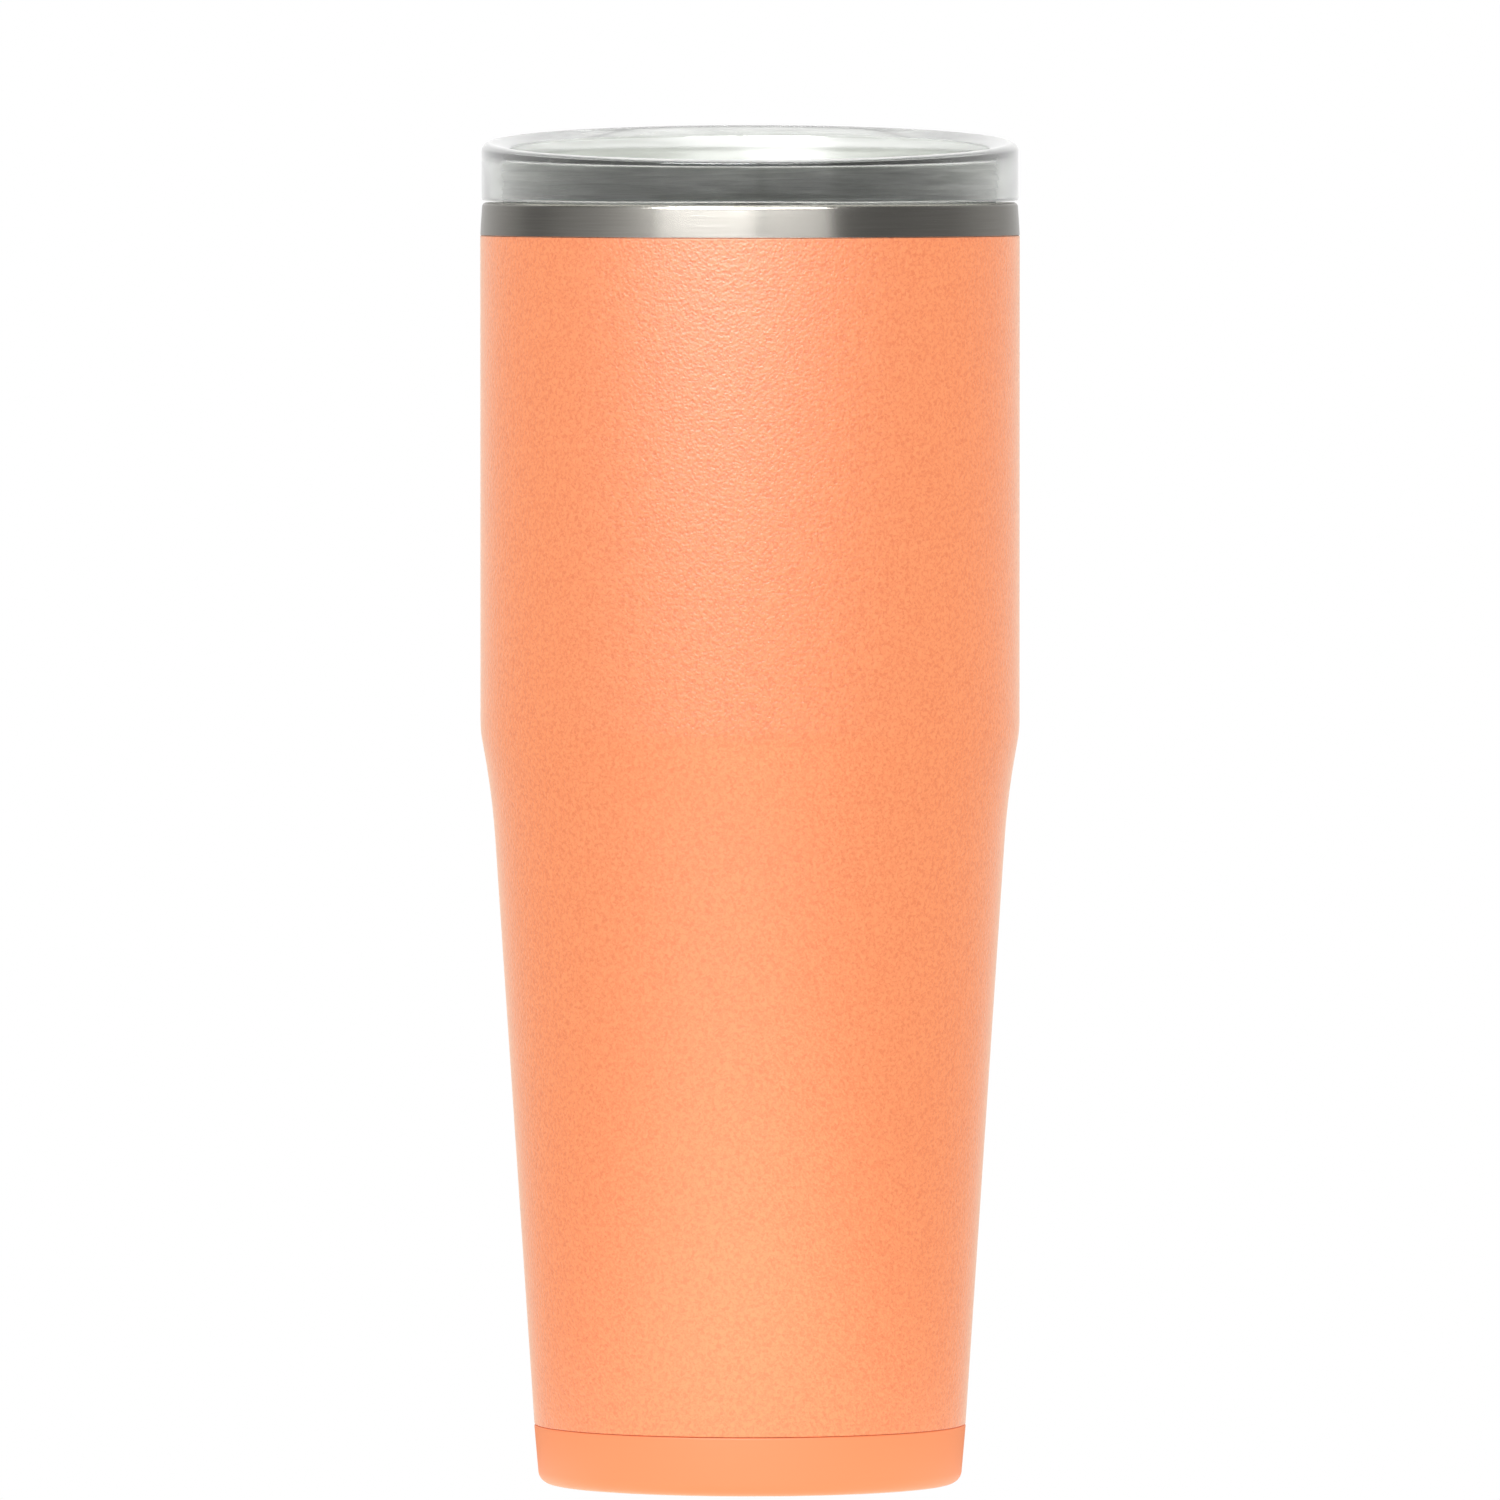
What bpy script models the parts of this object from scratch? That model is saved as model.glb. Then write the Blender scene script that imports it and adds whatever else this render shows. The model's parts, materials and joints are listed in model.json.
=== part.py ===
"""Insulated tumbler: a vacuum-walled steel cup with a painted shell, a silicone boot under its foot, and a
clear press-in lid whose magnetic slider opens a sip port. Metres, +Z up, standing on z = 0,
drinking at -Y."""

import math

import bmesh
import bpy

MM = 0.001

# Overall sizes
BODY_RADIUS = 45.45 * MM  # painted wall above the shoulder
BODY_HEIGHT = 216.1 * MM  # table to the top of the steel lip
SHOULDER_HEIGHT = 128.9 * MM  # where the straight upper wall ends
FOOT_RADIUS = 36.4 * MM  # painted wall just above the boot
BOOT_HEIGHT = 10.0 * MM

# Shoulder: a convex turn, a short flat, then a hollow that runs out into the taper
SHOULDER_ROUND = 20.0 * MM
SHOULDER_ANGLE = math.radians(10.3)
SHOULDER_FLAT = 1.8 * MM
WAIST_ROUND = 135.0 * MM

# Walls of the vessel
SHELL_WALL = 0.5 * MM
LINER_WALL = 0.5 * MM
VACUUM_GAP = 2.5 * MM
FOIL_WALL = 0.25 * MM
FOIL_CLEARANCE = 0.35 * MM
FOIL_END_MARGIN = 12.0 * MM
FOIL_SEAM = math.radians(4)

# Steel lip rolled over the mouth, and the bare band below it
BAND_HEIGHT = 5.3 * MM
BAND_TAPER = 0.3 * MM
LIP_ROUND = 0.8 * MM
MOUTH_ROUND = 1.2 * MM

# Bottom of the vessel
FLOOR_ROUND = 8.0 * MM
LINER_FLOOR_LIFT = 5.3 * MM  # liner floor above the bottom plate
BOTTOM_WALL = 0.6 * MM
BOTTOM_RECESS = 2.3 * MM  # bottom plate above the edge of the shell
DIMPLE_RADIUS = 7.0 * MM
DIMPLE_RISE = 1.1 * MM
EVACUATION_HOLE_RADIUS = 1.2 * MM
BEAD_RADIUS = 4.2 * MM
BEAD_THICKNESS = 0.9 * MM
BEAD_ROUND = 0.6 * MM
GETTER_OFFSET = 18.0 * MM
GETTER_RADIUS = 4.8 * MM
GETTER_THICKNESS = 1.6 * MM
GETTER_CUP_WALL = 0.4 * MM

# Silicone boot
BOOT_WALL = 1.9 * MM
BOOT_FLOOR = 2.4 * MM
BOOT_DRAFT = math.radians(4.8)
BOOT_ROUND = 2.2 * MM
BOOT_EDGE_ROUND = 0.3 * MM
BOOT_RECESS_RADIUS = 22.0 * MM
BOOT_RECESS_DEPTH = 0.8 * MM

# Lid: collar, bowl and plug
COLLAR_HEIGHT = 9.8 * MM  # seat to the crest of the rim, half way round
COLLAR_SETBACK = 0.2 * MM
COLLAR_EDGE_ROUND = 0.5 * MM
CREST_ROUND = 1.5 * MM
RIM_WIDTH = 4.95 * MM
RIM_FALL = 0.9 * MM  # crest down to the inner edge of the rim
RIM_LEAN = 0.06  # rise of the rim towards the back
BOWL_DEPTH = 8.6 * MM
BOWL_DRAFT = math.radians(12)
BOWL_ROUND = 3.5 * MM
LID_WALL = 2.2 * MM
CORE_WIDTH = 1.8 * MM
CORE_DEPTH = 7.4 * MM
CORE_DRAFT = 0.25 * MM
SKIRT_WALL = 1.6 * MM
PLUG_DEPTH = 9.4 * MM
PLUG_CLEARANCE = 0.45 * MM
PLUG_WALL = 1.7 * MM
GASKET_LAND = 2.6 * MM  # seat to the top of the gasket groove
GROOVE_HEIGHT = 4.4 * MM
GROOVE_DEPTH = 1.6 * MM
LIP_THICKNESS = 0.8 * MM

# Slider, its port and its magnets
PORT_WIDTH = 16.0 * MM
PORT_DEPTH = 7.0 * MM
PORT_ROUND = 3.1 * MM
PORT_COVER = 3.0 * MM  # how far the slider reaches past the port
SEAL_MARGIN = 1.5 * MM
SEAL_ROUND = PORT_ROUND + SEAL_MARGIN
SEAL_THICKNESS = 1.4 * MM
SEAL_STEM_RADIUS = 1.6 * MM
SEAL_STEM_HEIGHT = 1.5 * MM
SLIDER_WIDTH = 26.0 * MM
SLIDER_WALL = 1.2 * MM
SLIDER_FRONT_ROUND = 11.0 * MM
SLIDER_REAR_ROUND = 6.0 * MM
SLIDER_EDGE_ROUND = 0.6 * MM
SLIDER_WEB = 0.6 * MM
PLATE_THICKNESS = 0.8 * MM
PLATE_ROUND = 1.7 * MM
MAGNET_RADIUS = 4.0 * MM
MAGNET_THICKNESS = 1.5 * MM
MAGNET_SPARE = 1.2 * MM  # plate that shows round the row of magnets
COVER_THICKNESS = 1.2 * MM
BOSS_WALL = 1.2 * MM
GRIP_WIDTH = 17.0 * MM
GRIP_LENGTH = 13.0 * MM
GRIP_RECESS = 0.6 * MM
GRIP_PROUD = 0.2 * MM
GRIP_ROUND = 2.7 * MM
RIDGE_COUNT = 4
RIDGE_HEIGHT = 0.8 * MM
RIDGE_WIDTH = 1.2 * MM
RIDGE_ROUND = 0.35 * MM
RIDGE_INSET = 1.8 * MM  # from the grip's side to a ridge's end

# Deck that guides the slider, and the vent
DECK_MARGIN = 0.8 * MM  # flat floor that shows round the deck
DECK_HEIGHT = 4.6 * MM
DECK_WALL = 1.6 * MM
DECK_EDGE_ROUND = 0.6 * MM
CHANNEL_WALL = 1.5 * MM
CHANNEL_CLEARANCE = 0.45 * MM
STOP_CLEARANCE = 0.9 * MM
VENT_RADIUS = 1.2 * MM
VENT_FROM_WALL = 6.0 * MM
VENT_BOSS_RADIUS = 4.0 * MM

FIT = 0.3 * MM  # gap left between pieces that touch
ROUND_STEPS = 48
SMALL_STEPS = 24
VENT_STEPS = 12
WAIST_STEPS = 3
CORNER_STEPS = 6
SHARP_ANGLE = math.radians(30)
OVERCUT = 1.0 * MM

# Heights and radii that follow from the sizes above
STEP_HEIGHT = BOOT_HEIGHT + FIT
SHELL_BOTTOM = BOOT_FLOOR + FIT
BAND_BOTTOM = BODY_HEIGHT - BAND_HEIGHT
LINER_INSET = SHELL_WALL + VACUUM_GAP + LINER_WALL
MOUTH_RADIUS = BODY_RADIUS - LINER_INSET
PLATE_Z = SHELL_BOTTOM + BOTTOM_RECESS
LINER_FLOOR = PLATE_Z + BOTTOM_WALL + LINER_FLOOR_LIFT
BOOT_TOP_RADIUS = FOOT_RADIUS
SHELL_FOOT_RADIUS = BOOT_TOP_RADIUS - BOOT_WALL - FIT
SEAT_Z = BODY_HEIGHT + FIT
CREST_Z = SEAT_Z + COLLAR_HEIGHT
COLLAR_RADIUS = BODY_RADIUS - COLLAR_SETBACK
BOWL_TOP_RADIUS = COLLAR_RADIUS - RIM_WIDTH
BOWL_TOP_Z = CREST_Z - RIM_FALL
FLOOR_Z = CREST_Z - BOWL_DEPTH
PLUG_RADIUS = MOUTH_RADIUS - PLUG_CLEARANCE
GROOVE_RADIUS = PLUG_RADIUS - GROOVE_DEPTH
GROOVE_TOP = SEAT_Z - GASKET_LAND
PLUG_INNER_RADIUS = GROOVE_RADIUS - PLUG_WALL
BOWL_WALL_RADIUS = BOWL_TOP_RADIUS - (BOWL_TOP_Z - FLOOR_Z - BOWL_ROUND) * math.tan(BOWL_DRAFT)
FLOOR_RADIUS = BOWL_WALL_RADIUS - BOWL_ROUND / math.cos(BOWL_DRAFT)  # flat part of the bowl's floor
VENT_Y = FLOOR_RADIUS - VENT_FROM_WALL
DECK_RADIUS = FLOOR_RADIUS - DECK_MARGIN

TRAVEL = PORT_DEPTH + 2 * PORT_COVER
SEAL_LENGTH = PORT_DEPTH + 2 * SEAL_MARGIN
SEAL_WIDTH = PORT_WIDTH + 2 * SEAL_MARGIN
POCKET_RADIUS = MAGNET_RADIUS + FIT
PLATE_BAY_LENGTH = TRAVEL + 2 * (POCKET_RADIUS + MAGNET_SPARE)
SLIDER_LENGTH = 3 * SLIDER_WALL + SEAL_LENGTH + 2 * FIT + PLATE_BAY_LENGTH
FRONT_ROUND_X = SLIDER_WIDTH / 2 - SLIDER_FRONT_ROUND
FRONT_REACH = FLOOR_RADIUS - 2 * FIT - SLIDER_FRONT_ROUND
SLIDER_FRONT = -SLIDER_FRONT_ROUND - math.sqrt(FRONT_REACH**2 - FRONT_ROUND_X**2)
SLIDER_REAR = SLIDER_FRONT + SLIDER_LENGTH
SEAL_FRONT = SLIDER_FRONT + SLIDER_WALL + FIT
PORT_Y = SEAL_FRONT + SEAL_LENGTH / 2
PLATE_BAY_FRONT = SEAL_FRONT + SEAL_LENGTH + FIT + SLIDER_WALL
MAGNET_FRONT_Y = PLATE_BAY_FRONT + MAGNET_SPARE + POCKET_RADIUS
MAGNET_ROWS = {"front": MAGNET_FRONT_Y, "rear": MAGNET_FRONT_Y + TRAVEL}
GRIP_Y = MAGNET_FRONT_Y + TRAVEL / 2
SLIDER_Z = FLOOR_Z + FIT
MAGNET_Z = SLIDER_Z + PLATE_THICKNESS + FIT
MAGNET_CEILING = MAGNET_Z + MAGNET_THICKNESS + FIT
GRIP_FLOOR = MAGNET_CEILING + SLIDER_WEB
SLIDER_TOP = GRIP_FLOOR + GRIP_RECESS
LID_MAGNET_WEB = 0.8 * MM
LID_MAGNET_TOP = FLOOR_Z - LID_MAGNET_WEB - FIT
LID_MAGNET_Z = LID_MAGNET_TOP - MAGNET_THICKNESS
COVER_TOP = LID_MAGNET_Z - FIT
BOSS_BOTTOM = COVER_TOP - COVER_THICKNESS


def clear_scene():
    for obj in list(bpy.data.objects):
        bpy.data.objects.remove(obj, do_unlink=True)


def new_collection(name):
    collection = bpy.data.collections.new(name)
    bpy.context.scene.collection.children.link(collection)
    return collection


def plain_material(name, colour, roughness, metallic=0.0, alpha=1.0):
    material = bpy.data.materials.new(name)
    material.use_nodes = True
    shader = material.node_tree.nodes["Principled BSDF"]
    shader.inputs["Base Color"].default_value = (*colour, 1.0)
    shader.inputs["Roughness"].default_value = roughness
    shader.inputs["Metallic"].default_value = metallic
    shader.inputs["Alpha"].default_value = alpha
    return material


def add_object(name, mesh, material, collection):
    obj = bpy.data.objects.new(name, mesh)
    collection.objects.link(obj)
    if material:
        mesh.materials.append(material)
    return obj


def applied(obj):
    """Turns an object's modifiers into its mesh, with its faces pointing out and its round sides smooth."""
    graph = bpy.context.evaluated_depsgraph_get()
    graph.update()
    mesh = bpy.data.meshes.new_from_object(obj.evaluated_get(graph))
    obj.modifiers.clear()
    obj.data = mesh
    form = bmesh.new()
    form.from_mesh(mesh)
    bmesh.ops.recalc_face_normals(form, faces=form.faces)
    form.to_mesh(mesh)
    form.free()
    mesh.shade_smooth()
    mesh.set_sharp_from_angle(angle=SHARP_ANGLE)
    return obj


def turned(
    name, outline, material, collection, closed=False, wall=0.0, side=-1, steps=ROUND_STEPS, sweep=math.tau
):
    """A turned piece. The outline is (radius, height) points, down the outer side. With a wall it is an open
    surface that Solidify thickens, on its inner side for side -1."""
    mesh = bpy.data.meshes.new(name)
    edges = [(i, i + 1) for i in range(len(outline) - 1)]
    if closed:
        edges.append((len(outline) - 1, 0))
    mesh.from_pydata([(radius, 0, height) for radius, height in outline], edges, [])
    obj = add_object(name, mesh, material, collection)
    screw = obj.modifiers.new("turn", "SCREW")
    screw.axis = "Z"
    screw.angle = sweep
    screw.steps = screw.render_steps = steps
    screw.use_merge_vertices = sweep == math.tau
    screw.merge_threshold = 0.000001
    if wall:
        thicken = obj.modifiers.new("wall", "SOLIDIFY")
        thicken.thickness = wall
        thicken.offset = side
        thicken.use_even_offset = True
    return applied(obj)


def disc(name, radius, low, high, material, collection, y=0.0, x=0.0, steps=SMALL_STEPS):
    """A plain round piece or cutter that stands upright at (x, y)."""
    form = bmesh.new()
    bmesh.ops.create_cone(
        form, cap_ends=True, segments=steps, radius1=radius, radius2=radius, depth=high - low
    )
    mesh = bpy.data.meshes.new(name)
    form.to_mesh(mesh)
    form.free()
    obj = add_object(name, mesh, material, collection)
    obj.location = (x, y, (low + high) / 2)
    return obj


def block(
    name, width, front, rear, low, high, material, collection, front_round=0.0, rear_round=0.0, top_round=0.0
):
    """A box centred on x = 0 from front to rear, with its upright edges rounded."""
    form = bmesh.new()
    bmesh.ops.create_cube(form, size=1.0)
    bmesh.ops.scale(form, vec=(width, rear - front, high - low), verts=form.verts)
    bmesh.ops.translate(form, vec=(0, (front + rear) / 2, (low + high) / 2), verts=form.verts)
    middle = (front + rear) / 2
    for radius, ahead in ((front_round, True), (rear_round, False)):
        upright = [
            edge
            for edge in form.edges
            if abs(edge.verts[0].co.z - edge.verts[1].co.z) > (high - low) / 2
            and (edge.verts[0].co.y < middle) == ahead
        ]
        if radius:
            bmesh.ops.bevel(
                form, geom=upright, offset=radius, segments=CORNER_STEPS, profile=0.5, affect="EDGES"
            )
    if top_round:
        top = [edge for edge in form.edges if all(abs(vert.co.z - high) < 1e-7 for vert in edge.verts)]
        bmesh.ops.bevel(form, geom=top, offset=top_round, segments=2, profile=0.5, affect="EDGES")
    bmesh.ops.recalc_face_normals(form, faces=form.faces)
    mesh = bpy.data.meshes.new(name)
    form.to_mesh(mesh)
    form.free()
    return add_object(name, mesh, material, collection)


def combine(obj, tool, operation):
    """Cuts obj by tool, or joins tool to it, with the exact solver."""
    tool.hide_render = True
    tool.display_type = "WIRE"
    boolean = obj.modifiers.new(tool.name, "BOOLEAN")
    boolean.operation = operation
    boolean.solver = "EXACT"
    boolean.object = tool


def arc(centre, radius, start, end, steps):
    """Points on an arc about (radius, height), from one angle to another, 0 pointing out and 90 up."""
    points = []
    for i in range(steps + 1):
        angle = math.radians(start + (end - start) * i / steps)
        points.append((centre[0] + radius * math.cos(angle), centre[1] + radius * math.sin(angle)))
    return points


def taper_angle():
    """Lean of the tapered wall: the line from the foot that runs into the hollow under the shoulder."""
    centre = waist_centre()
    across = FOOT_RADIUS - centre[0]
    down = STEP_HEIGHT - centre[1]
    reach = math.hypot(across, down)
    return -math.acos(-WAIST_ROUND / reach) - math.atan2(down, across)


def waist_centre():
    """Centre of the hollow under the shoulder, outside the wall."""
    radius, height = shoulder_end()
    return (
        radius + WAIST_ROUND * math.cos(SHOULDER_ANGLE),
        height - WAIST_ROUND * math.sin(SHOULDER_ANGLE),
    )


def shoulder_end():
    """Lower end of the short flat below the shoulder's turn."""
    radius = BODY_RADIUS - SHOULDER_ROUND * (1 - math.cos(SHOULDER_ANGLE))
    height = SHOULDER_HEIGHT - SHOULDER_ROUND * math.sin(SHOULDER_ANGLE)
    return (
        radius - SHOULDER_FLAT * math.sin(SHOULDER_ANGLE),
        height - SHOULDER_FLAT * math.cos(SHOULDER_ANGLE),
    )


def wall_radius(height):
    """Outer radius of the painted wall at a height."""
    flat_radius, flat_height = shoulder_end()
    centre = waist_centre()
    taper = taper_angle()
    waist_height = centre[1] + WAIST_ROUND * math.sin(taper)
    if height >= SHOULDER_HEIGHT:
        return BODY_RADIUS
    drop = SHOULDER_HEIGHT - height
    if drop <= SHOULDER_ROUND * math.sin(SHOULDER_ANGLE):
        return BODY_RADIUS - SHOULDER_ROUND + math.sqrt(SHOULDER_ROUND**2 - drop**2)
    if height >= flat_height:
        return flat_radius + (height - flat_height) * math.tan(SHOULDER_ANGLE)
    if height >= waist_height:
        return centre[0] - math.sqrt(WAIST_ROUND**2 - (height - centre[1]) ** 2)
    return FOOT_RADIUS + (height - STEP_HEIGHT) * math.tan(taper)


def wall_heights(bottom, top):
    """Heights from top to bottom at which the wall bends, with both ends."""
    turn_end = SHOULDER_HEIGHT - SHOULDER_ROUND * math.sin(SHOULDER_ANGLE)
    flat_end = shoulder_end()[1]
    waist_end = waist_centre()[1] + WAIST_ROUND * math.sin(taper_angle())
    bends = [SHOULDER_HEIGHT, (SHOULDER_HEIGHT + turn_end) / 2, turn_end]
    bends += [flat_end + (waist_end - flat_end) * i / WAIST_STEPS for i in range(WAIST_STEPS + 1)]
    return [top, *(height for height in bends if bottom < height < top), bottom]


def wall_line(bottom, top, inset=0.0):
    return [(wall_radius(height) - inset, height) for height in wall_heights(bottom, top)]


def make_outer_shell(paint, parts):
    """Painted outer wall, stepped in at the foot to leave room for the boot."""
    foot_fall = (STEP_HEIGHT - SHELL_BOTTOM) * math.tan(BOOT_DRAFT)
    outline = wall_line(STEP_HEIGHT, BAND_BOTTOM - FIT)
    outline += [(SHELL_FOOT_RADIUS, STEP_HEIGHT), (SHELL_FOOT_RADIUS - foot_fall, SHELL_BOTTOM)]
    turned("outer_shell", outline, paint, parts, wall=SHELL_WALL)


def make_inner_liner(steel, parts):
    """Deep-drawn cup. Its mouth rolls out and down into the bare steel band that the outer shell meets."""
    band_top = BODY_RADIUS - BAND_TAPER
    outline = [(BODY_RADIUS, BAND_BOTTOM), (band_top, BODY_HEIGHT - LIP_ROUND)]
    outline += arc((band_top - LIP_ROUND, BODY_HEIGHT - LIP_ROUND), LIP_ROUND, 30, 90, 2)
    outline += arc((MOUTH_RADIUS + MOUTH_ROUND, BODY_HEIGHT - MOUTH_ROUND), MOUTH_ROUND, 90, 180, 3)
    corner_height = LINER_FLOOR + FLOOR_ROUND
    outline += wall_line(corner_height, BODY_HEIGHT - 2 * MOUTH_ROUND, LINER_INSET)[1:]
    corner_radius = outline[-1][0] - FLOOR_ROUND
    outline += arc((corner_radius, corner_height), FLOOR_ROUND, 0, -90, 5)[1:]
    outline.append((0, LINER_FLOOR))
    turned("inner_liner", outline, steel, parts, wall=LINER_WALL, side=1)


def make_copper_foil(copper, parts):
    """Foil wrapped round the liner in the vacuum space, with an open seam."""
    inset = LINER_INSET - LINER_WALL - FOIL_CLEARANCE - FOIL_WALL
    low = LINER_FLOOR + FLOOR_ROUND + FOIL_END_MARGIN / 2
    high = BAND_BOTTOM - FOIL_END_MARGIN
    sweep = math.tau - FOIL_SEAM
    turned("copper_foil", wall_line(low, high, inset), copper, parts, wall=FOIL_WALL, sweep=sweep)


def make_outer_bottom(steel, parts):
    """Pressed plate that closes the shell, with a dimple round the evacuation hole."""
    rim = SHELL_FOOT_RADIUS - (STEP_HEIGHT - SHELL_BOTTOM) * math.tan(BOOT_DRAFT) - SHELL_WALL - FIT
    turn = BOTTOM_RECESS / 2
    top = PLATE_Z + BOTTOM_WALL
    outline = [
        (EVACUATION_HOLE_RADIUS, top + DIMPLE_RISE),
        (DIMPLE_RADIUS - DIMPLE_RISE, top + DIMPLE_RISE),
        (DIMPLE_RADIUS, top),
        (rim - turn, top),
        (rim, top - turn),
        (rim, SHELL_BOTTOM + FIT),
    ]
    turned("outer_bottom", outline, steel, parts, wall=BOTTOM_WALL)


def make_sealing_bead(glass, parts):
    """Glass bead fused under the evacuation hole."""
    top = PLATE_Z + DIMPLE_RISE - FIT
    low = top - BEAD_THICKNESS
    outline = [
        (0, top),
        (BEAD_RADIUS, top),
        (BEAD_RADIUS, low + BEAD_ROUND),
        (BEAD_RADIUS - BEAD_ROUND, low),
        (0, low),
    ]
    turned("sealing_bead", outline, glass, parts, steps=SMALL_STEPS)


def make_getter(steel, getter, parts):
    """Pill that soaks up stray gas, in a small cup on the bottom plate."""
    low = PLATE_Z + BOTTOM_WALL + FIT
    inner = GETTER_RADIUS + FIT
    outer = inner + GETTER_CUP_WALL
    floor = low + GETTER_CUP_WALL
    top = floor + FIT + GETTER_THICKNESS
    outline = [(0, floor), (inner, floor), (inner, top), (outer, top), (outer, low), (0, low)]
    cup = turned("getter_cup", outline, steel, parts, steps=SMALL_STEPS)
    cup.location.x = GETTER_OFFSET
    disc("getter_pill", GETTER_RADIUS, floor + FIT, top, getter, parts, x=GETTER_OFFSET)


def make_base_boot(silicone, parts):
    """Non-slip boot pushed over the foot, flush with the painted wall."""
    foot_flat = BOOT_TOP_RADIUS - (BOOT_HEIGHT - BOOT_ROUND) * math.tan(BOOT_DRAFT)
    inner_top = BOOT_TOP_RADIUS - BOOT_WALL
    inner_low = inner_top - (BOOT_HEIGHT - BOOT_FLOOR) * math.tan(BOOT_DRAFT)
    outline = [
        (BOOT_TOP_RADIUS - BOOT_EDGE_ROUND, BOOT_HEIGHT),
        (BOOT_TOP_RADIUS, BOOT_HEIGHT - BOOT_EDGE_ROUND),
    ]
    outline += arc((foot_flat - BOOT_ROUND, BOOT_ROUND), BOOT_ROUND, 0, -90, 4)
    outline += [
        (BOOT_RECESS_RADIUS + BOOT_RECESS_DEPTH, 0),
        (BOOT_RECESS_RADIUS, BOOT_RECESS_DEPTH),
        (0, BOOT_RECESS_DEPTH),
    ]
    inside = [(0, BOOT_FLOOR), (inner_low, BOOT_FLOOR), (inner_top, BOOT_HEIGHT)]
    turned("base_boot", inside + outline, silicone, parts)


def lid_outline():
    """Half section of the clear lid: bowl floor, bowl wall, rim, collar, skirt, plug and back to the axis."""
    lean = math.degrees(BOWL_DRAFT)
    floor_round = arc((FLOOR_RADIUS, FLOOR_Z + BOWL_ROUND), BOWL_ROUND, -90, -lean, 4)
    crest = arc((COLLAR_RADIUS - CREST_ROUND, CREST_Z - CREST_ROUND), CREST_ROUND, 90, 0, 3)
    edge = COLLAR_RADIUS - COLLAR_EDGE_ROUND
    skirt_low = arc((edge, SEAT_Z + COLLAR_EDGE_ROUND), COLLAR_EDGE_ROUND, 0, -90, 2)
    core_outer = COLLAR_RADIUS - SKIRT_WALL
    core_inner = core_outer - CORE_WIDTH
    core_top = SEAT_Z + CORE_DEPTH
    groove_bottom = GROOVE_TOP - GROOVE_HEIGHT
    plug_bottom = SEAT_Z - PLUG_DEPTH
    underside = FLOOR_Z - LID_WALL
    return [
        (0, FLOOR_Z),
        *floor_round,
        (BOWL_TOP_RADIUS, BOWL_TOP_Z),
        *crest,
        *skirt_low,
        (core_outer, SEAT_Z),
        (core_outer - CORE_DRAFT, core_top),
        (core_inner + CORE_DRAFT, core_top),
        (core_inner, SEAT_Z),
        (PLUG_RADIUS, SEAT_Z),
        (PLUG_RADIUS, GROOVE_TOP),
        (GROOVE_RADIUS, GROOVE_TOP),
        (GROOVE_RADIUS, groove_bottom),
        (PLUG_RADIUS, groove_bottom),
        (PLUG_RADIUS - FIT, plug_bottom),
        (PLUG_INNER_RADIUS, plug_bottom),
        (PLUG_INNER_RADIUS, underside - PLUG_WALL / 2),
        (PLUG_INNER_RADIUS - PLUG_WALL / 2, underside),
        (0, underside),
    ]


def lean_rim(obj):
    """Tilts the rim up towards the back, fading out half way down the bowl."""
    start = FLOOR_Z + BOWL_ROUND
    for vert in obj.data.vertices:
        share = (vert.co.z - start) / (CREST_Z - start)
        if share > 0:
            vert.co.z += RIM_LEAN * vert.co.y * share


def make_lid_shell(clear, parts, cutters):
    """Clear lid with magnet bosses under its floor, a sip port and a vent."""
    lid = turned("lid_shell", lid_outline(), clear, parts)
    lean_rim(lid)
    for where, y in MAGNET_ROWS.items():
        boss_top = FLOOR_Z - LID_WALL / 2
        boss = disc("boss_" + where, POCKET_RADIUS + BOSS_WALL, BOSS_BOTTOM, boss_top, None, cutters, y)
        combine(lid, boss, "UNION")
    for where, y in MAGNET_ROWS.items():
        pocket_top = LID_MAGNET_TOP + FIT
        pocket = disc("pocket_" + where, POCKET_RADIUS, BOSS_BOTTOM - OVERCUT, pocket_top, None, cutters, y)
        combine(lid, pocket, "DIFFERENCE")
    port = block(
        "port_cut", PORT_WIDTH, PORT_Y - PORT_DEPTH / 2, PORT_Y + PORT_DEPTH / 2,
        FLOOR_Z - LID_WALL - OVERCUT, FLOOR_Z + OVERCUT, None, cutters, PORT_ROUND, PORT_ROUND,
    )
    combine(lid, port, "DIFFERENCE")
    vent_low = FLOOR_Z - LID_WALL - OVERCUT
    vent = disc("vent_cut", VENT_RADIUS, vent_low, FLOOR_Z + OVERCUT, None, cutters, VENT_Y, steps=VENT_STEPS)
    combine(lid, vent, "DIFFERENCE")
    applied(lid)


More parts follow.
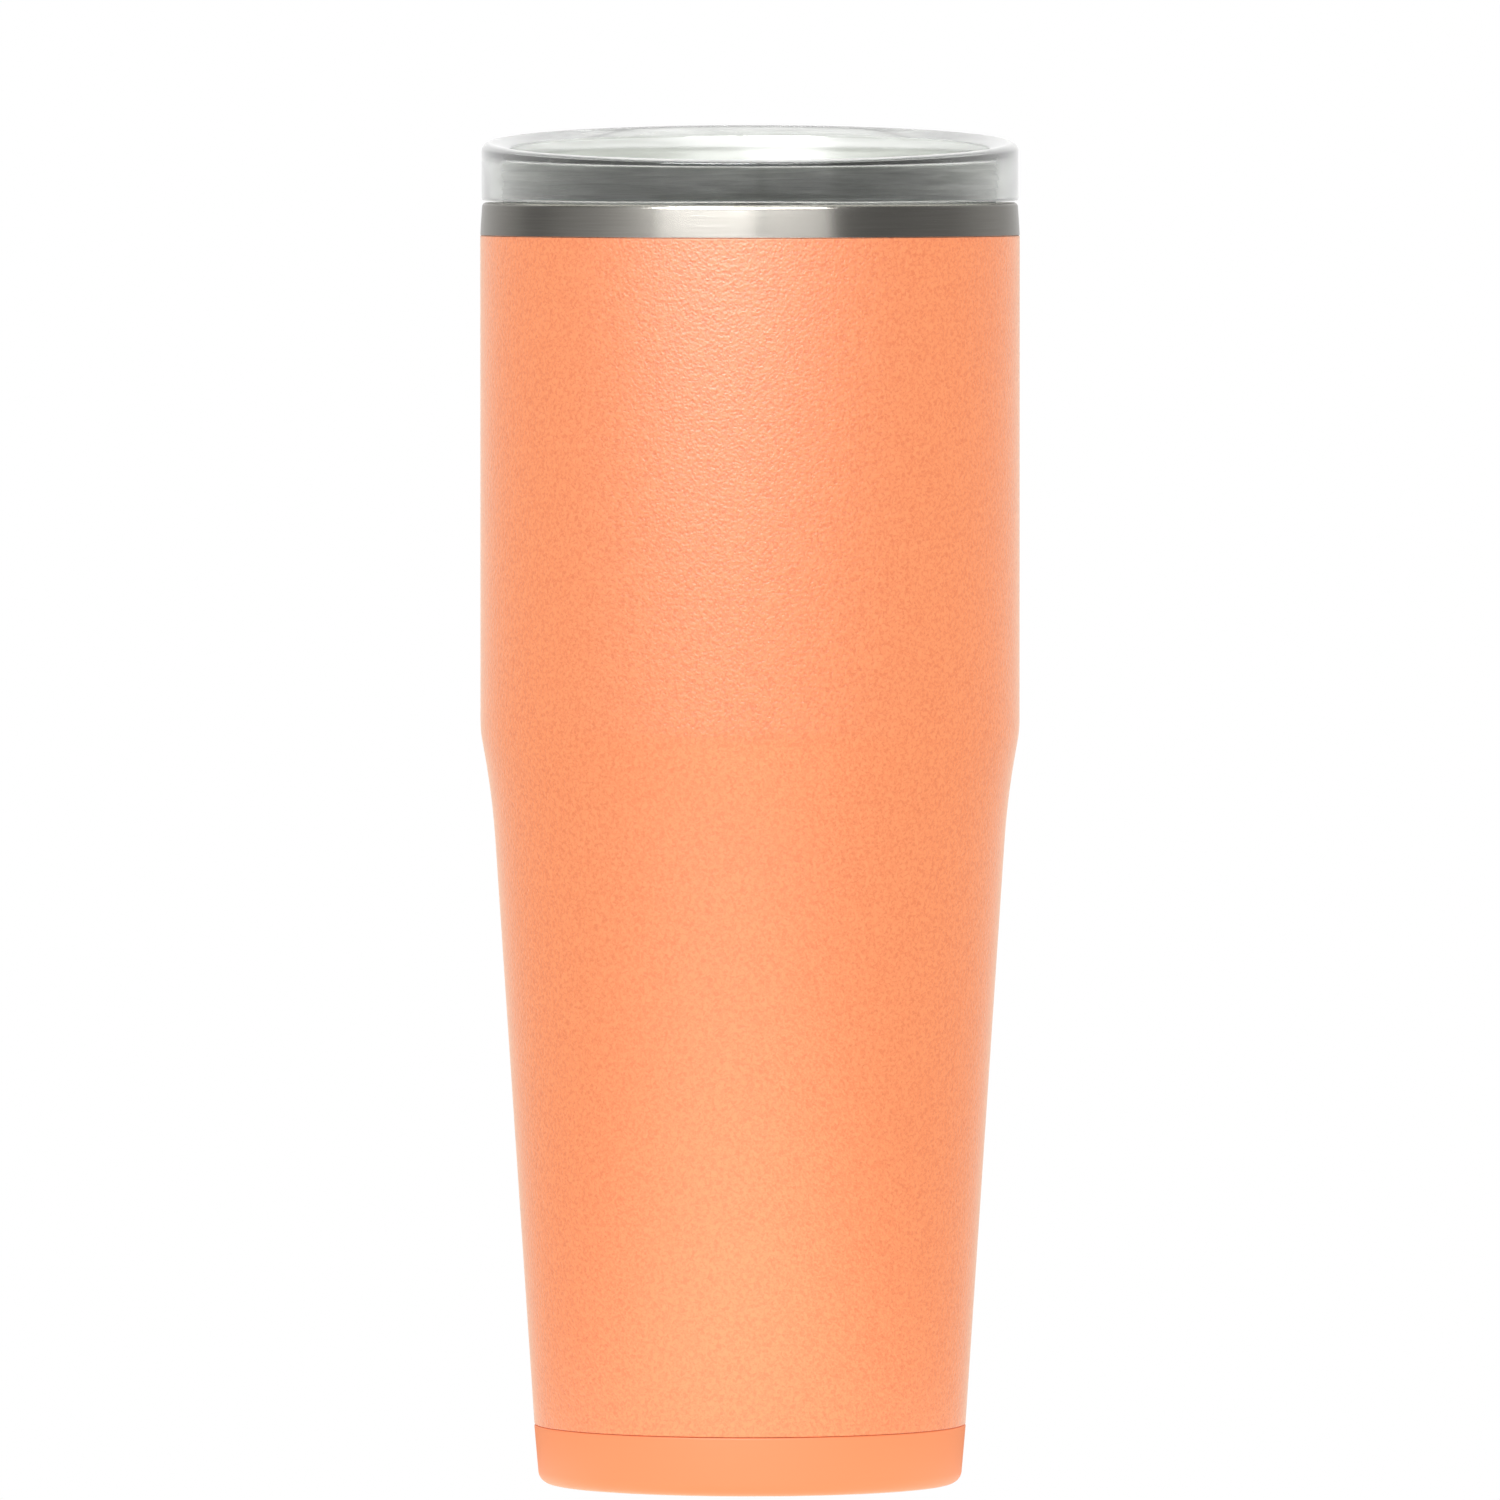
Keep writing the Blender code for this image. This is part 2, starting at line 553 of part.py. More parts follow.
def make_deck(plastic, parts, cutters):
    """Round deck on the bowl's floor, cored out from below, with a channel for the slider and a vent."""
    low = FLOOR_Z + FIT
    high = low + DECK_HEIGHT
    edge = arc((DECK_RADIUS - DECK_EDGE_ROUND, high - DECK_EDGE_ROUND), DECK_EDGE_ROUND, 90, 0, 3)
    deck = turned("deck", [(0, high), *edge, (DECK_RADIUS, low), (0, low)], plastic, parts)
    half = SLIDER_WIDTH / 2 + CHANNEL_CLEARANCE
    front = -DECK_RADIUS - OVERCUT
    rear = SLIDER_REAR + TRAVEL + STOP_CLEARANCE
    channel = block(
        "deck_channel", 2 * half, front, rear, low - OVERCUT, high + OVERCUT, None, cutters,
        rear_round=SLIDER_REAR_ROUND,
    )
    wall = block(
        "channel_wall", 2 * (half + CHANNEL_WALL), front, rear + CHANNEL_WALL,
        low - 2 * OVERCUT, high + OVERCUT, None, cutters,
        rear_round=SLIDER_REAR_ROUND + CHANNEL_WALL,
    )
    hollow = disc(
        "deck_hollow", DECK_RADIUS - DECK_WALL, low - OVERCUT, high - DECK_WALL, None, cutters,
        steps=ROUND_STEPS,
    )
    boss = disc("vent_boss", VENT_BOSS_RADIUS, low - 2 * OVERCUT, high + OVERCUT, None, cutters, VENT_Y)
    vent = disc(
        "deck_vent", VENT_RADIUS, low - OVERCUT, high + OVERCUT, None, cutters, VENT_Y, steps=VENT_STEPS
    )
    combine(hollow, wall, "DIFFERENCE")
    combine(hollow, boss, "DIFFERENCE")
    for cutter in (hollow, channel, vent):
        combine(deck, cutter, "DIFFERENCE")
    applied(deck)


def make_lid_magnets(magnet, clear, parts):
    """Two magnets under the bowl's floor, each closed in by a welded disc."""
    for where, y in MAGNET_ROWS.items():
        disc("lid_magnet_" + where, MAGNET_RADIUS, LID_MAGNET_Z, LID_MAGNET_TOP, magnet, parts, y)
        disc("magnet_cover_" + where, MAGNET_RADIUS, BOSS_BOTTOM, COVER_TOP, clear, parts, y)


def make_lid_gasket(silicone, parts):
    """Ring with two wiping lips that grips the liner's mouth."""
    inner = GROOVE_RADIUS + FIT
    body = PLUG_RADIUS
    reach = MOUTH_RADIUS - FIT
    top = GROOVE_TOP - FIT
    bottom = GROOVE_TOP - GROOVE_HEIGHT + FIT
    waist_top = top - LIP_THICKNESS
    waist_bottom = bottom + LIP_THICKNESS
    waist = body - FIT
    outline = [
        (inner, top),
        (waist, top),
        (reach, top - LIP_THICKNESS / 2),
        (reach, waist_top),
        (waist, waist_top - FIT),
        (waist, waist_bottom + FIT),
        (reach, waist_bottom),
        (reach, bottom + LIP_THICKNESS / 2),
        (waist, bottom),
        (inner, bottom),
    ]
    turned("lid_gasket", outline, silicone, parts, closed=True)


def make_slider_cap(plastic, parts, cutters):
    """Top of the slider, hollow below for the seal, the magnets and their plate, with a recess for
    the grip."""
    cap = block(
        "slider_cap", SLIDER_WIDTH, SLIDER_FRONT, SLIDER_REAR, SLIDER_Z, SLIDER_TOP, plastic, parts,
        SLIDER_FRONT_ROUND, SLIDER_REAR_ROUND, SLIDER_EDGE_ROUND,
    )
    below = SLIDER_Z - OVERCUT
    seal_bay = block(
        "seal_bay", SEAL_WIDTH + 2 * FIT, SEAL_FRONT - FIT, SEAL_FRONT + SEAL_LENGTH + FIT,
        below, SLIDER_Z + SEAL_THICKNESS + FIT, None, cutters, SEAL_ROUND + FIT, SEAL_ROUND + FIT,
    )
    combine(cap, seal_bay, "DIFFERENCE")
    for side in (-1, 1):
        stem_top = SLIDER_Z + SEAL_THICKNESS + SEAL_STEM_HEIGHT + FIT
        x = side * PORT_WIDTH / 4
        hole = disc(f"stem_hole_{side}", SEAL_STEM_RADIUS + FIT, below, stem_top, None, cutters, PORT_Y, x)
        combine(cap, hole, "DIFFERENCE")
    plate_bay = block(
        "plate_bay", SLIDER_WIDTH - 2 * SLIDER_WALL, PLATE_BAY_FRONT, PLATE_BAY_FRONT + PLATE_BAY_LENGTH,
        below, SLIDER_Z + PLATE_THICKNESS + FIT, None, cutters,
        PLATE_ROUND + FIT, SLIDER_REAR_ROUND - SLIDER_WALL,
    )
    combine(cap, plate_bay, "DIFFERENCE")
    for where, y in MAGNET_ROWS.items():
        pocket = disc("cap_pocket_" + where, POCKET_RADIUS, below, MAGNET_CEILING, None, cutters, y)
        combine(cap, pocket, "DIFFERENCE")
    recess = block(
        "grip_recess", GRIP_WIDTH, GRIP_Y - GRIP_LENGTH / 2, GRIP_Y + GRIP_LENGTH / 2,
        GRIP_FLOOR, SLIDER_TOP + OVERCUT, None, cutters, GRIP_ROUND + FIT, GRIP_ROUND + FIT,
    )
    combine(cap, recess, "DIFFERENCE")
    applied(cap)


def make_slider_plate(plastic, parts):
    """Plate welded under the cap that shuts the magnets in."""
    block(
        "slider_plate", SLIDER_WIDTH - 2 * (SLIDER_WALL + FIT), PLATE_BAY_FRONT + FIT,
        PLATE_BAY_FRONT + PLATE_BAY_LENGTH - FIT, SLIDER_Z, SLIDER_Z + PLATE_THICKNESS, plastic, parts,
        PLATE_ROUND, SLIDER_REAR_ROUND - SLIDER_WALL - FIT,
    )


def make_slider_magnets(magnet, parts):
    for where, y in MAGNET_ROWS.items():
        disc("slider_magnet_" + where, MAGNET_RADIUS, MAGNET_Z, MAGNET_Z + MAGNET_THICKNESS, magnet, parts, y)


def make_slider_seal(silicone, parts, cutters):
    """Soft pad over the port, held by two stems."""
    seal = block(
        "slider_seal", SEAL_WIDTH, SEAL_FRONT, SEAL_FRONT + SEAL_LENGTH, SLIDER_Z, SLIDER_Z + SEAL_THICKNESS,
        silicone, parts, SEAL_ROUND, SEAL_ROUND,
    )
    for side in (-1, 1):
        low = SLIDER_Z + SEAL_THICKNESS / 2
        stem_top = SLIDER_Z + SEAL_THICKNESS + SEAL_STEM_HEIGHT
        x = side * PORT_WIDTH / 4
        stem = disc(f"seal_stem_{side}", SEAL_STEM_RADIUS, low, stem_top, None, cutters, PORT_Y, x)
        combine(seal, stem, "UNION")
    applied(seal)


def make_thumb_grip(rubber, parts, cutters):
    """Ridged rubber pad moulded into the top of the slider."""
    half = GRIP_LENGTH / 2 - FIT
    top = SLIDER_TOP + GRIP_PROUD
    grip = block(
        "thumb_grip", GRIP_WIDTH - 2 * FIT, GRIP_Y - half, GRIP_Y + half, GRIP_FLOOR + FIT, top,
        rubber, parts, GRIP_ROUND, GRIP_ROUND,
    )
    pitch = 2 * half / RIDGE_COUNT
    for i in range(RIDGE_COUNT):
        y = GRIP_Y - half + (i + 0.5) * pitch
        ridge_width = GRIP_WIDTH - 2 * FIT - 2 * RIDGE_INSET
        ridge = block(
            f"grip_ridge_{i}", ridge_width, y - RIDGE_WIDTH / 2, y + RIDGE_WIDTH / 2,
            top - GRIP_PROUD, top + RIDGE_HEIGHT, None, cutters, top_round=RIDGE_ROUND,
        )
        combine(grip, ridge, "UNION")
    applied(grip)


def hang_on(name, place, nodes, collection, parent=None):
    """Parents nodes to an empty that stands where their joint is, without moving them."""
    joint = bpy.data.objects.new(name, None)
    joint.location = place
    collection.objects.link(joint)
    joint.parent = parent
    bpy.context.view_layer.update()
    if parent:
        joint.matrix_parent_inverse = parent.matrix_world.inverted()
        bpy.context.view_layer.update()
    for node in nodes:
        obj = bpy.data.objects[node]
        obj.parent = joint
        obj.matrix_parent_inverse = joint.matrix_world.inverted()
    return joint


def main():
    clear_scene()
    parts = new_collection("insulated_tumbler")
    cutters = new_collection("cutters")
    paint = plain_material("peach_powder_coat", (0.96, 0.42, 0.20), 0.6)
    peach_silicone = plain_material("peach_silicone", (0.96, 0.40, 0.18), 0.5)
    steel = plain_material("brushed_steel", (0.62, 0.61, 0.58), 0.3, metallic=1.0)
    copper = plain_material("copper_foil", (0.85, 0.45, 0.30), 0.25, metallic=1.0)
    glass = plain_material("solder_glass", (0.25, 0.25, 0.22), 0.2)
    getter = plain_material("getter_alloy", (0.35, 0.35, 0.36), 0.7, metallic=1.0)
    clear = plain_material("clear_copolyester", (0.90, 0.92, 0.90), 0.05, alpha=0.35)
    grey_silicone = plain_material("grey_silicone", (0.55, 0.55, 0.54), 0.5)
    charcoal = plain_material("charcoal_plastic", (0.05, 0.05, 0.05), 0.4)
    rubber = plain_material("charcoal_rubber", (0.03, 0.03, 0.03), 0.7)
    magnet = plain_material("nickel_magnet", (0.66, 0.65, 0.62), 0.2, metallic=1.0)
    make_outer_shell(paint, parts)
    make_inner_liner(steel, parts)
    make_copper_foil(copper, parts)
    make_outer_bottom(steel, parts)
    make_sealing_bead(glass, parts)
    make_getter(steel, getter, parts)
    make_base_boot(peach_silicone, parts)
    make_lid_shell(clear, parts, cutters)
    make_deck(charcoal, parts, cutters)
    make_lid_magnets(magnet, clear, parts)
    make_lid_gasket(grey_silicone, parts)
    make_slider_cap(charcoal, parts, cutters)
    make_slider_plate(charcoal, parts)
    make_slider_magnets(magnet, parts)
    make_slider_seal(grey_silicone, parts, cutters)
    make_thumb_grip(rubber, parts, cutters)
    lid_nodes = ["lid_shell", "deck", "lid_gasket"]
    slider_nodes = ["slider_cap", "slider_plate", "slider_seal", "thumb_grip"]
    for where in MAGNET_ROWS:
        lid_nodes += ["lid_magnet_" + where, "magnet_cover_" + where]
        slider_nodes.append("slider_magnet_" + where)
    lid_lift = hang_on("lid_lift", (0, 0, SEAT_Z), lid_nodes, parts)
    hang_on("slider_travel", (0, SLIDER_FRONT, SLIDER_Z), slider_nodes, parts, lid_lift)


main()
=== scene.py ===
import json
import math

import bpy
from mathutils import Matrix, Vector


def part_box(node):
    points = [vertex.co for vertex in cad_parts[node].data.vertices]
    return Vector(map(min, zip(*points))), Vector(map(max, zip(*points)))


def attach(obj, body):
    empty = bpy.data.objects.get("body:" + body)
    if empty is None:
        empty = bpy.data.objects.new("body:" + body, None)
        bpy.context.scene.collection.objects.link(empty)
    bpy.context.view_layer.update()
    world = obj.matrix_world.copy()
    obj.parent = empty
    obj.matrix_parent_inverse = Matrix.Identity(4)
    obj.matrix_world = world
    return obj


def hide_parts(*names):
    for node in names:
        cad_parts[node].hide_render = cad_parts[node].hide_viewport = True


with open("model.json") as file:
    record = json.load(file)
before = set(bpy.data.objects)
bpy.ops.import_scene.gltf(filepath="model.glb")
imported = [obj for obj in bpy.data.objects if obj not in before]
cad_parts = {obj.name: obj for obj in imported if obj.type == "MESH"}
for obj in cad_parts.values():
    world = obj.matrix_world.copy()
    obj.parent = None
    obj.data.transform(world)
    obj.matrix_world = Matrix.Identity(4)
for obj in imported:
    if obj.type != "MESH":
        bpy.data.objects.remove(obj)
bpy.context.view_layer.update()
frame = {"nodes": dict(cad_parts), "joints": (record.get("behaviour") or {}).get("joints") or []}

MM = 0.001

# ---------------------------------------------------------------------------------------------------------
# Camera
# A long lens a few metres away, with the eye just above the rim, so that the cup's sides stay upright.
# ---------------------------------------------------------------------------------------------------------

CAMERA_DISTANCE = 3.6
CAMERA_HEIGHT = 0.2501
CAMERA_TILT = math.radians(2.01)
CAMERA_LENS = 512.7

bpy.ops.object.camera_add(
    location=(0, -CAMERA_DISTANCE, CAMERA_HEIGHT), rotation=(math.radians(90) - CAMERA_TILT, 0, 0)
)
camera = bpy.context.object
camera.data.lens = CAMERA_LENS
camera.data.sensor_width = 36
camera.data.clip_end = 200
bpy.context.scene.camera = camera

# ---------------------------------------------------------------------------------------------------------
# Painted outer shell
# A tube of 18/8 stainless sheet, drawn to a straight upper wall, a soft shoulder and a tapered lower wall,
# then powder-coated and stoved. It is welded inside to the bottom plate and meets the steel band at the top.
# ---------------------------------------------------------------------------------------------------------

shell_low, shell_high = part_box("outer_shell")
boot_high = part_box("base_boot")[1]
BODY_RADIUS = shell_high.x
FOOT_RADIUS = boot_high.x
SHELL_TOP = shell_high.z
SEAM = 0.06 * MM
SHELL_STEP = boot_high.z + SEAM
SHELL_WALL = 0.5 * MM
SHELL_INSET = 2.3 * MM
SHELL_EDGE = 0.18 * MM
STUB_DRAFT = 0.6 * MM
SHOULDER_HEIGHT = 128.9 * MM
SHOULDER_ROUND = 20 * MM
SHOULDER_ANGLE = math.radians(10.3)
SHOULDER_FLAT = 1.8 * MM
WAIST_ROUND = 135 * MM
TURN_STEPS = 256


def arc(centre, radius, start, end, steps):
    """Points on an arc about (radius, height). 0 degrees points out and 90 up."""
    points = []
    for i in range(steps + 1):
        angle = math.radians(start + (end - start) * i / steps)
        points.append((centre[0] + radius * math.cos(angle), centre[1] + radius * math.sin(angle)))
    return points


def edit_new(name):
    """Leaves edit mode's single selected vertex at the world's centre, in a new object."""
    bpy.ops.object.select_all(action="DESELECT")
    bpy.ops.mesh.primitive_plane_add(size=MM, location=(0, 0, 0))
    made = bpy.context.object
    made.name = made.data.name = name
    bpy.ops.object.mode_set(mode="EDIT")
    bpy.ops.mesh.select_mode(type="VERT")
    bpy.ops.mesh.select_all(action="SELECT")
    bpy.ops.mesh.merge(type="CENTER")
    return made


def turn(name, section, closed=False):
    """Draws a half section point by point and spins it round the upright axis."""
    made = edit_new(name)
    at = (0, 0)
    for i, point in enumerate([*section, section[0]] if closed else section):
        step = (point[0] - at[0], 0, point[1] - at[1])
        if i:
            bpy.ops.mesh.extrude_region_move(TRANSFORM_OT_translate={"value": step})
        else:
            bpy.ops.transform.translate(value=step)
        at = point
    bpy.ops.mesh.select_all(action="SELECT")
    bpy.ops.mesh.remove_doubles(threshold=MM / 1000)
    bpy.ops.mesh.select_all(action="SELECT")
    bpy.ops.mesh.spin(steps=TURN_STEPS, angle=math.tau, center=(0, 0, 0), axis=(0, 0, 1))
    bpy.ops.mesh.select_all(action="SELECT")
    bpy.ops.mesh.remove_doubles(threshold=MM / 1000)
    bpy.ops.mesh.normals_make_consistent(inside=False)
    bpy.ops.object.mode_set(mode="OBJECT")
    bpy.ops.object.shade_smooth_by_angle(angle=math.radians(32))
    return made


def upright_wall(top, bottom):
    """The painted wall's outer line from top to bottom, with the taper run tangent to the waist."""
    turn_end = arc((BODY_RADIUS - SHOULDER_ROUND, SHOULDER_HEIGHT), SHOULDER_ROUND, 0,
                   -math.degrees(SHOULDER_ANGLE), 8)
    flat_end = (
        turn_end[-1][0] - SHOULDER_FLAT * math.sin(SHOULDER_ANGLE),
        turn_end[-1][1] - SHOULDER_FLAT * math.cos(SHOULDER_ANGLE),
    )
    waist = (
        flat_end[0] + WAIST_ROUND * math.cos(SHOULDER_ANGLE),
        flat_end[1] - WAIST_ROUND * math.sin(SHOULDER_ANGLE),
    )
    across = FOOT_RADIUS - waist[0]
    down = bottom - waist[1]
    taper = -math.acos(-WAIST_ROUND / math.hypot(across, down)) - math.atan2(down, across)
    waist_turn = arc(waist, WAIST_ROUND, 180 - math.degrees(SHOULDER_ANGLE), 180 - math.degrees(taper), 10)
    return [(BODY_RADIUS, top), *turn_end, *waist_turn, (FOOT_RADIUS, bottom)]


wall = upright_wall(SHELL_TOP, SHELL_STEP)
shell_section = [
    (BODY_RADIUS - SHELL_WALL, SHELL_TOP - SHELL_EDGE),
    *arc((BODY_RADIUS - SHELL_EDGE, SHELL_TOP - SHELL_EDGE), SHELL_EDGE, 90, 0, 4),
    *wall[1:-1],
    *arc((FOOT_RADIUS - SHELL_EDGE, SHELL_STEP + SHELL_EDGE), SHELL_EDGE, 0, -90, 4),
    (FOOT_RADIUS - SHELL_INSET, SHELL_STEP),
    (FOOT_RADIUS - SHELL_INSET - STUB_DRAFT, shell_low.z),
    (FOOT_RADIUS - SHELL_INSET - STUB_DRAFT - SHELL_WALL, shell_low.z),
    (FOOT_RADIUS - SHELL_INSET - SHELL_WALL, SHELL_STEP + SHELL_WALL),
    *[(radius - SHELL_WALL, max(height, SHELL_STEP + SHELL_WALL)) for radius, height in reversed(wall[1:])],
]
painted_shell = turn("painted_shell", shell_section, closed=True)


def colour(code):
    """An sRGB hex code as the linear colour that a socket takes."""
    shares = [int(code[i : i + 2], 16) / 255 for i in (1, 3, 5)]
    linear = [s / 12.92 if s <= 0.04045 else ((s + 0.055) / 1.055) ** 2.4 for s in shares]
    return (*linear, 1.0)


def node(tree, kind, inputs=None, **settings):
    """Adds a node with its settings, its sockets' values and its links."""
    made = tree.nodes.new(kind)
    for name, value in settings.items():
        setattr(made, name, value)
    for socket, value in (inputs or {}).items():
        if isinstance(value, bpy.types.NodeSocket):
            tree.links.new(value, made.inputs[socket])
        else:
            made.inputs[socket].default_value = value
    return made


def new_material(name, **sockets):
    """A Principled material with its constant sockets set. Gives the material, its tree and its shader."""
    material = bpy.data.materials.new(name)
    material.use_nodes = True
    shader = material.node_tree.nodes["Principled BSDF"]
    for socket, value in sockets.items():
        shader.inputs[socket.replace("_", " ")].default_value = value
    return material, material.node_tree, shader


def smooth(piece):
    """Smooths a piece's shading, apart from its sharp edges."""
    bpy.ops.object.select_all(action="DESELECT")
    piece.select_set(True)
    bpy.context.view_layer.objects.active = piece
    bpy.ops.object.shade_smooth_by_angle(angle=math.radians(32))


def dress(piece, material):
    """Gives a piece one material in place of what it had."""
    piece.data.materials.clear()
    piece.data.materials.append(material)


# Powder-coated steel: polyester powder stoved to a matte skin with a fine leathery pebble, which breaks the
# highlights into a soft glow and leaves a pale sheen along the edges that turn away. Its hollows are coloured
# a darker orange as painted shade.
PEBBLE = 0.55 * MM
powder_coat, tree, shader = new_material(
    "polyester_powder_coat", Roughness=0.47, IOR=1.5, Specular_IOR_Level=0.7, Sheen_Weight=0.9,
    Sheen_Roughness=0.35,
)
shader.inputs["Sheen Tint"].default_value = colour("#FFF4E2")
place = node(tree, "ShaderNodeTexCoord")
pebbles = node(
    tree, "ShaderNodeTexVoronoi",
    {"Vector": place.outputs["Object"], "Scale": 1 / PEBBLE, "Smoothness": 0.6}, feature="SMOOTH_F1",
)
wrinkles = node(
    tree, "ShaderNodeTexNoise",
    {"Vector": place.outputs["Object"], "Scale": 1 / PEBBLE, "Detail": 1.0, "Distortion": 0.8},
)
relief = node(
    tree, "ShaderNodeMath", {0: pebbles.outputs["Distance"], 1: wrinkles.outputs["Fac"]}, operation="ADD"
)
bump = node(tree, "ShaderNodeBump", {"Height": relief.outputs[0], "Strength": 0.8, "Distance": 0.08 * MM})
cloud = node(tree, "ShaderNodeTexNoise", {"Vector": place.outputs["Object"], "Scale": 22.0, "Detail": 2.0})
tint = node(
    tree, "ShaderNodeMix",
    {"Factor": cloud.outputs["Fac"], 6: colour("#FD9256"), 7: colour("#FE965A")}, data_type="RGBA",
)
# Painted shade: where the wrinkles sink, the colour turns the darker orange, which stands in for shade in the
# hollows.
painted_shade_in_hollows = node(
    tree, "ShaderNodeMapRange",
    {"Value": wrinkles.outputs["Fac"], "From Min": 0.3, "From Max": 0.62},
)
paint_with_hollow_shade = node(
    tree, "ShaderNodeMix", {"Factor": painted_shade_in_hollows.outputs["Result"], 6: colour("#EE7E45"), 7: tint.outputs[2]},
    data_type="RGBA",
)
tree.links.new(paint_with_hollow_shade.outputs[2], shader.inputs["Base Color"])
tree.links.new(bump.outputs["Normal"], shader.inputs["Normal"])
dress(painted_shell, powder_coat)
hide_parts("outer_shell")
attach(painted_shell, "cup")

# ---------------------------------------------------------------------------------------------------------
# Steel cup
# The inner cup is deep-drawn from 18/8 stainless sheet. Its mouth is rolled out over the painted shell, which
# leaves a bare band under the lid. It is buffed with a belt while it turns, so the fine lines run round it.
# ---------------------------------------------------------------------------------------------------------

liner_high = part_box("inner_liner")[1]
LINER_TOP = liner_high.z
LINER_FLOOR = 10.9 * MM
LINER_INSET = 3.5 * MM
LINER_WALL = 0.5 * MM
BAND_BOTTOM = SHELL_TOP + SEAM
BAND_TAPER = 0.3 * MM
LIP_ROUND = 0.8 * MM
MOUTH_ROUND = 1.2 * MM
MOUTH_RUN = 3 * MM
BAND_RUN = 1.6 * MM
BAND_EDGE = 0.08 * MM
BAND_BREAK = 0.1 * MM
BAND_TURN = 0.02 * MM
FLOOR_ROUND = 8 * MM

mouth_radius = BODY_RADIUS - LINER_INSET
inner_wall = [(radius - LINER_INSET, height) for radius, height in wall]
inner_wall = [
    point for point in inner_wall if LINER_FLOOR + FLOOR_ROUND < point[1] < LINER_TOP - MOUTH_RUN
]
slope = (inner_wall[-1][0] - (FOOT_RADIUS - LINER_INSET)) / (inner_wall[-1][1] - SHELL_STEP)
corner_radius = inner_wall[-1][0] - slope * (inner_wall[-1][1] - LINER_FLOOR - FLOOR_ROUND)
cup_section = [
    (BODY_RADIUS - LINER_WALL, BAND_BOTTOM),
    (BODY_RADIUS - BAND_BREAK, BAND_BOTTOM),
    (BODY_RADIUS - BAND_TURN, BAND_BOTTOM + BAND_EDGE),
    (BODY_RADIUS - BAND_EDGE, BAND_BOTTOM + BAND_RUN),
    *arc((BODY_RADIUS - BAND_TAPER - LIP_ROUND, LINER_TOP - LIP_ROUND), LIP_ROUND, 0, 90, 8),
    *arc((mouth_radius + MOUTH_ROUND, LINER_TOP - MOUTH_ROUND), MOUTH_ROUND, 90, 180, 8),
    *inner_wall,
    *arc((corner_radius - FLOOR_ROUND, LINER_FLOOR + FLOOR_ROUND), FLOOR_ROUND, 0, -90, 10),
    (0, LINER_FLOOR),
    (0, LINER_FLOOR - LINER_WALL),
    *arc((corner_radius - FLOOR_ROUND, LINER_FLOOR + FLOOR_ROUND), FLOOR_ROUND + LINER_WALL, -90, 0, 6),
    *[(radius + LINER_WALL, height) for radius, height in reversed(inner_wall)],
    *arc((mouth_radius + MOUTH_ROUND, LINER_TOP - MOUTH_ROUND), MOUTH_ROUND - LINER_WALL, 180, 90, 4),
    (BODY_RADIUS - BAND_TAPER - LIP_ROUND, LINER_TOP - LINER_WALL),
    (BODY_RADIUS - BAND_TAPER - LINER_WALL, LINER_TOP - LIP_ROUND),
]
steel_cup = turn("steel_cup", cup_section, closed=True)

# Belt-buffed stainless steel: hard, slightly warm and grey, with fine lines that run round the cup and draw
# each reflection out into upright bars. The lines are drawn at 0.12 mm, coarser than the real grit.
BUFF_LINE = 0.12 * MM
BUFF_LENGTH = 14 * MM
buffed_steel, tree, shader = new_material(
    "belt_buffed_stainless_steel", Metallic=1.0, Roughness=0.2, Anisotropic=0.6, Anisotropic_Rotation=0.25
)
place = node(tree, "ShaderNodeTexCoord")
parts = node(tree, "ShaderNodeSeparateXYZ", {0: place.outputs["Object"]})
flat = node(tree, "ShaderNodeCombineXYZ", {"X": parts.outputs["X"], "Y": parts.outputs["Y"]})
reach = node(tree, "ShaderNodeVectorMath", {0: flat.outputs[0]}, operation="LENGTH")
along = node(tree, "ShaderNodeMath", {0: reach.outputs["Value"], 1: parts.outputs["Z"]}, operation="ADD")
across = node(tree, "ShaderNodeMath", {0: along.outputs[0], 1: BUFF_LENGTH / BUFF_LINE}, operation="MULTIPLY")
lines_at = node(
    tree, "ShaderNodeCombineXYZ",
    {"X": parts.outputs["X"], "Y": parts.outputs["Y"], "Z": across.outputs[0]},
)
lines = node(
    tree, "ShaderNodeTexNoise",
    {"Vector": lines_at.outputs[0], "Scale": 1 / BUFF_LENGTH, "Detail": 2.0, "Roughness": 0.6},
)
bump = node(tree, "ShaderNodeBump", {"Height": lines.outputs["Fac"], "Strength": 0.12, "Distance": 0.01 * MM})
rough = node(
    tree, "ShaderNodeMapRange", {"Value": lines.outputs["Fac"], "To Min": 0.16, "To Max": 0.30}
)
shade = node(
    tree, "ShaderNodeMix",
    {"Factor": lines.outputs["Fac"], 6: colour("#BDB9B1"), 7: colour("#D2CFC8")}, data_type="RGBA",
)
round_axis = node(tree, "ShaderNodeTangent", direction_type="RADIAL", axis="Z")
tree.links.new(shade.outputs[2], shader.inputs["Base Color"])
tree.links.new(rough.outputs["Result"], shader.inputs["Roughness"])
tree.links.new(bump.outputs["Normal"], shader.inputs["Normal"])
tree.links.new(round_axis.outputs["Tangent"], shader.inputs["Tangent"])
dress(steel_cup, buffed_steel)
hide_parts("inner_liner")
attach(steel_cup, "cup")

# ---------------------------------------------------------------------------------------------------------
# Silicone boot
# A cup-shaped sleeve of moulded silicone rubber, stretched over the foot against knocks and slipping. Its lip
# stands a hair proud of the paint, and it stands on a flat ring round a shallow recess.
# ---------------------------------------------------------------------------------------------------------

BOOT_TOP = boot_high.z
BOOT_DRAFT = math.radians(4.8)
BOOT_ROUND = 2.2 * MM
BOOT_WALL = 1.9 * MM
BOOT_FLOOR = 2.4 * MM
BOOT_EDGE = 0.35 * MM
RECESS_RADIUS = 22 * MM
RECESS_DEPTH = 0.8 * MM

